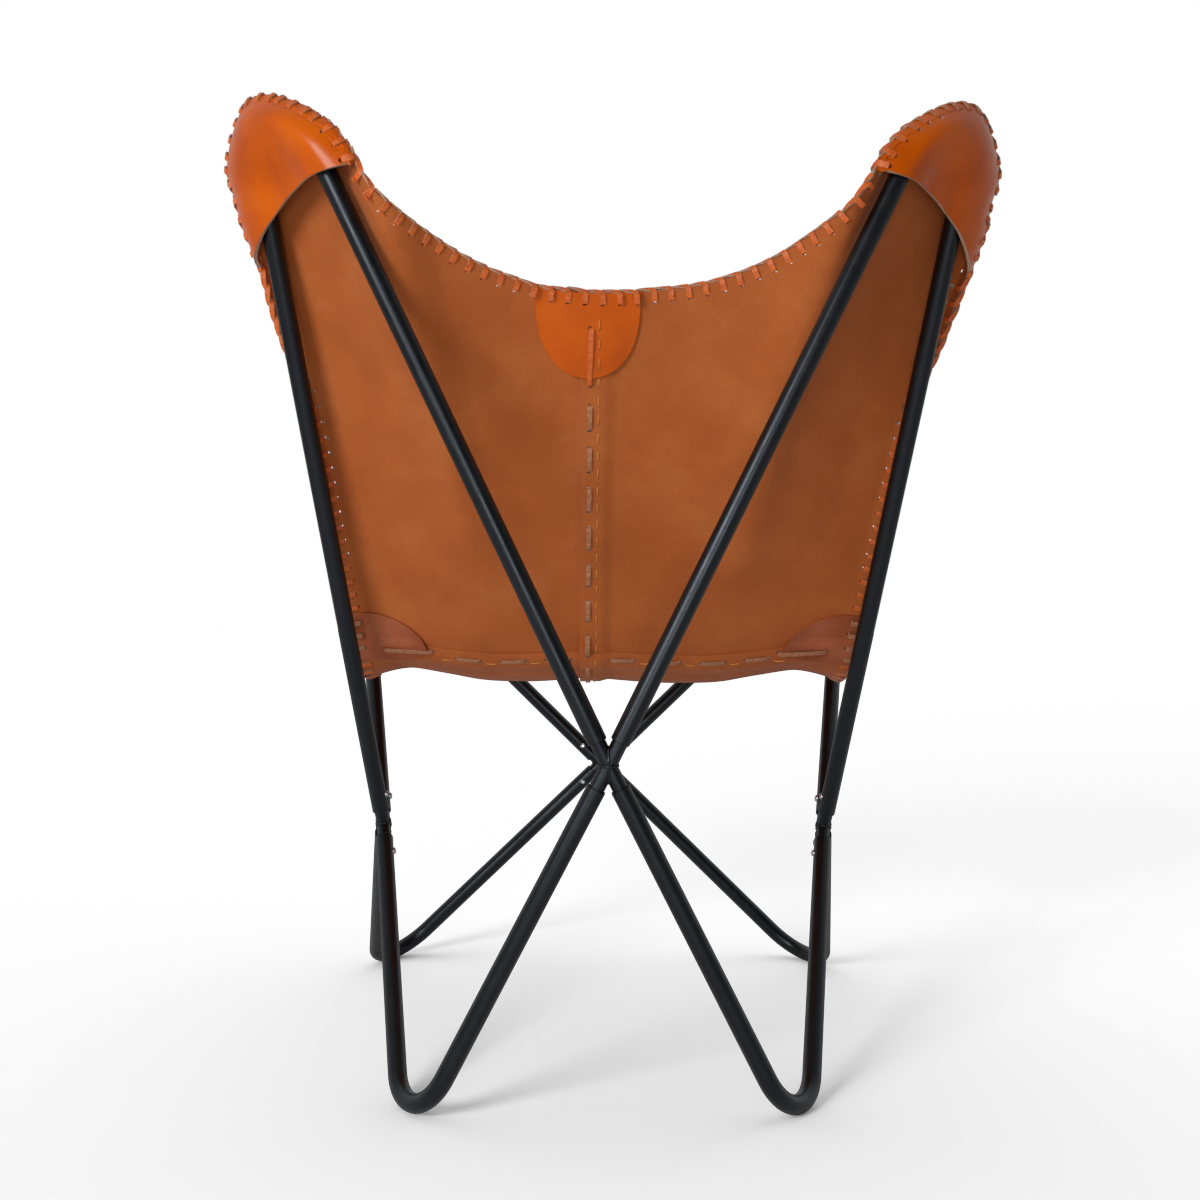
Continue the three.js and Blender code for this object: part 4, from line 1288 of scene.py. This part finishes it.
seam_end = BACK_RUN + SEAT_RUN - SEAM_REST
thong_spots = np.arange(RUNNING_START, seam_end, RUNNING_PITCH)
thread_spots = np.arange(THREAD_START, seam_end, THREAD_PITCH)
on_back = thong_spots < BACK_RUN - SEAM_CLEAR
back_lines = [centre_line(CENTRE_THONG_ACROSS, thong_spots[on_back])]
seat_lines = [centre_line(CENTRE_THONG_ACROSS, thong_spots[~on_back])]
long_lines = [centre_line(CENTRE_THONG_ACROSS, [LONG_STITCH_START + LONG_STITCH / 2])]
thread_lines = [centre_line(CENTRE_THREAD_ACROSS, thread_spots)]
stitched("centre_seam_thong", running_shape, RUNNING_STITCH, back_lines, SEAM_THONG, 11, thong_ends,
         ["centre_seam_lace"])
stitched("seat_seam_thong", running_shape, RUNNING_STITCH, seat_lines, SEAM_THONG, 12, thong_ends)
stitched("top_patch_thong", running_shape, LONG_STITCH, long_lines, THONG, 5, thong_ends)
between_lines = []
for word, side in SIDES.items():
    bare_run = halves[side].seam.length - SIDE_PATCH["length"]
    cross_spots = np.arange(CROSS_START, bare_run - CROSS_CLEAR, CROSS_PITCH)
    cross_lines = [cross_line(side, CROSS_THONG_BEYOND, cross_spots)]
    tongue_lines = [cross_line(side, TONGUE_BEYOND, [bare_run + TONGUE_STITCH / 2 - TONGUE_TUCK])]
    stitched(f"{word}_cross_seam_thong", running_shape, RUNNING_STITCH, cross_lines, SEAM_THONG, 17 + side,
             thong_ends, [f"{word}_cross_seam_lace"])
    stitched(f"{word}_seam_patch_thong", running_shape, TONGUE_STITCH, tongue_lines, SEAM_THONG, 23 + side,
             thong_ends)
    thread_lines.append(cross_line(side, CROSS_THREAD_BEYOND, cross_spots + CROSS_PITCH / 2))
    between_lines.append(cross_line(side, CROSS_THONG_BEYOND, cross_spots[:-1] + CROSS_PITCH / 2))
stitched("seam_threads", thread_shape, THREAD_STITCH, thread_lines, THREAD, 29, thread_ends)

# Stitches on the sitting face, between the holes of the outer ones
sitting_runs = {
    "sitting_centre_thong": (running_shape, RUNNING_PITCH - RUNNING_STITCH,
                             [centre_line(CENTRE_THONG_ACROSS, thong_spots - RUNNING_PITCH / 2)], SEAM_THONG),
    "sitting_cross_thong": (running_shape, CROSS_PITCH - RUNNING_STITCH, between_lines, SEAM_THONG),
    "sitting_threads": (thread_shape, THREAD_PITCH - THREAD_STITCH,
                        [centre_line(CENTRE_THREAD_ACROSS, thread_spots[1:] - THREAD_PITCH / 2)], THREAD),
}
for number, (name, run) in enumerate(sitting_runs.items()):
    stitched(name, *run, 31 + number)


# Holes punched for the lacing and the stitches
def punches(radius, reach, places, turns):
    """Rods to cut with, one at each place along its own z."""
    along = np.array([0.0, 0.0, 1.0])
    rings = round_rings([-reach * along, reach * along], [along] * 2, [radius] * 2, 12, np.array([1.0, 0, 0]))
    return repeated("punches", shape_object(*lofted(rings)), places, turns, CUT_EDGE, CUT_EDGE)


free = ~in_pocket
hole_rise = np.where(in_pocket[:, None], HIDE, lace_stack) / 2
hole_places = place + outward * hole_rise + inward * LACE_HOLE_INSET
panel_punches = [
    punches(LACE_HOLE_R, PUNCH_REACH["edge"], hole_places[free], lace_turns[free]),
    punches(LACE_HOLE_R, PUNCH_REACH["pocket"], hole_places[in_pocket], lace_turns[in_pocket]),
    punches(THONG_HOLE_R, PUNCH_REACH["seam"], *zip(*thong_ends)),
    punches(THREAD_HOLE_R, PUNCH_REACH["seam"], *zip(*thread_ends)),
]
leaf_punches = [punches(LACE_HOLE_R, PUNCH_REACH["leaf"], leaf_holes, leaf_turns)]
for name, (piece, grid, slot, node) in sheets.items():
    for cutters in leaf_punches if name.endswith("pocket_hide") else panel_punches:
        cut_or_join(piece, cutters, "DIFFERENCE")
    piece.data.set_sharp_from_angle(angle=math.radians(SMOOTH_SKIN))
    keep(piece, slot, node)
    flat, area = flat_size(grid)
for cutters in (*panel_punches, *leaf_punches):
    discard(cutters)


# Camera, light and floor
def add_camera():
    data = bpy.data.cameras.new("photo_camera")
    data.lens = CAMERA_LENS
    data.sensor_width = 36.0
    camera = place_object("photo_camera", data)
    camera.location = to_row(CAMERA_PLACE)
    view = Vector((-CAMERA_YAW, -1.0, 0.0))
    roll = Quaternion((0.0, 0.0, 1.0), CAMERA_ROLL)
    camera.rotation_mode = "QUATERNION"
    camera.rotation_quaternion = view.to_track_quat("-Z", "Y") @ roll
    bpy.context.scene.camera = camera


def add_softbox(name, place, target, size, power, spread):
    """A round softbox with a grid that narrows its beam to the spread, in degrees."""
    data = bpy.data.lights.new(name, "AREA")
    data.shape = "DISK"
    data.size = size
    data.energy = power
    data.spread = math.radians(spread)
    light = place_object(name, data)
    light.location = place
    light.rotation_mode = "QUATERNION"
    light.rotation_quaternion = (Vector(target) - Vector(place)).to_track_quat("-Z", "Y")


def add_floor():
    half = 20.0
    mesh = bpy.data.meshes.new("studio_floor")
    mesh.from_pydata([(-half, -half, 0), (half, -half, 0), (half, half, 0), (-half, half, 0)], [], [(0, 1, 2, 3)])
    material = bpy.data.materials.new("studio_floor")
    material.use_nodes = True
    tree = material.node_tree
    feed(tree, tree.nodes["Principled BSDF"], {"Base Color": linear("f0f0f0"), "Roughness": 0.9})
    mesh.materials.append(material)
    floor = place_object("studio_floor", mesh)
    floor.is_shadow_catcher = True


def add_world():
    """A white backdrop in every view, which lights the chair from its front and hardly from the camera's side."""
    world = bpy.data.worlds.new("studio_world")
    world.use_nodes = True
    tree = world.node_tree
    way = add(tree, "ShaderNodeTexCoord").outputs["Generated"]
    to_camera_side = add(tree, "ShaderNodeSeparateXYZ", {"Vector": way}).outputs["Y"]
    dimmed = add(tree, "ShaderNodeMapRange", {
        "Value": to_camera_side, "From Min": -0.5, "From Max": 0.7, "To Min": ROOM_BRIGHT, "To Max": ROOM_DIM,
    })
    seen = add(tree, "ShaderNodeLightPath").outputs["Is Camera Ray"]
    strength = add(tree, "ShaderNodeMath", {0: dimmed.outputs["Result"], 1: seen}, operation="MAXIMUM")
    feed(tree, tree.nodes["Background"], {"Color": (1.0, 1.0, 1.0, 1.0), "Strength": strength.outputs[0]})
    bpy.context.scene.world = world


add_camera()
add_softbox("key_softbox", place=(1.15, 1.8, 1.05), target=(0.05, 0.15, 0.55), size=0.8, power=7.0, spread=100.0)
add_softbox("fill_softbox", place=(0.1, 2.15, 0.4), target=(0.0, 0.15, 0.5), size=0.7, power=2.8, spread=110.0)
add_floor()
add_world()
bpy.context.scene.view_settings.view_transform = "Standard"
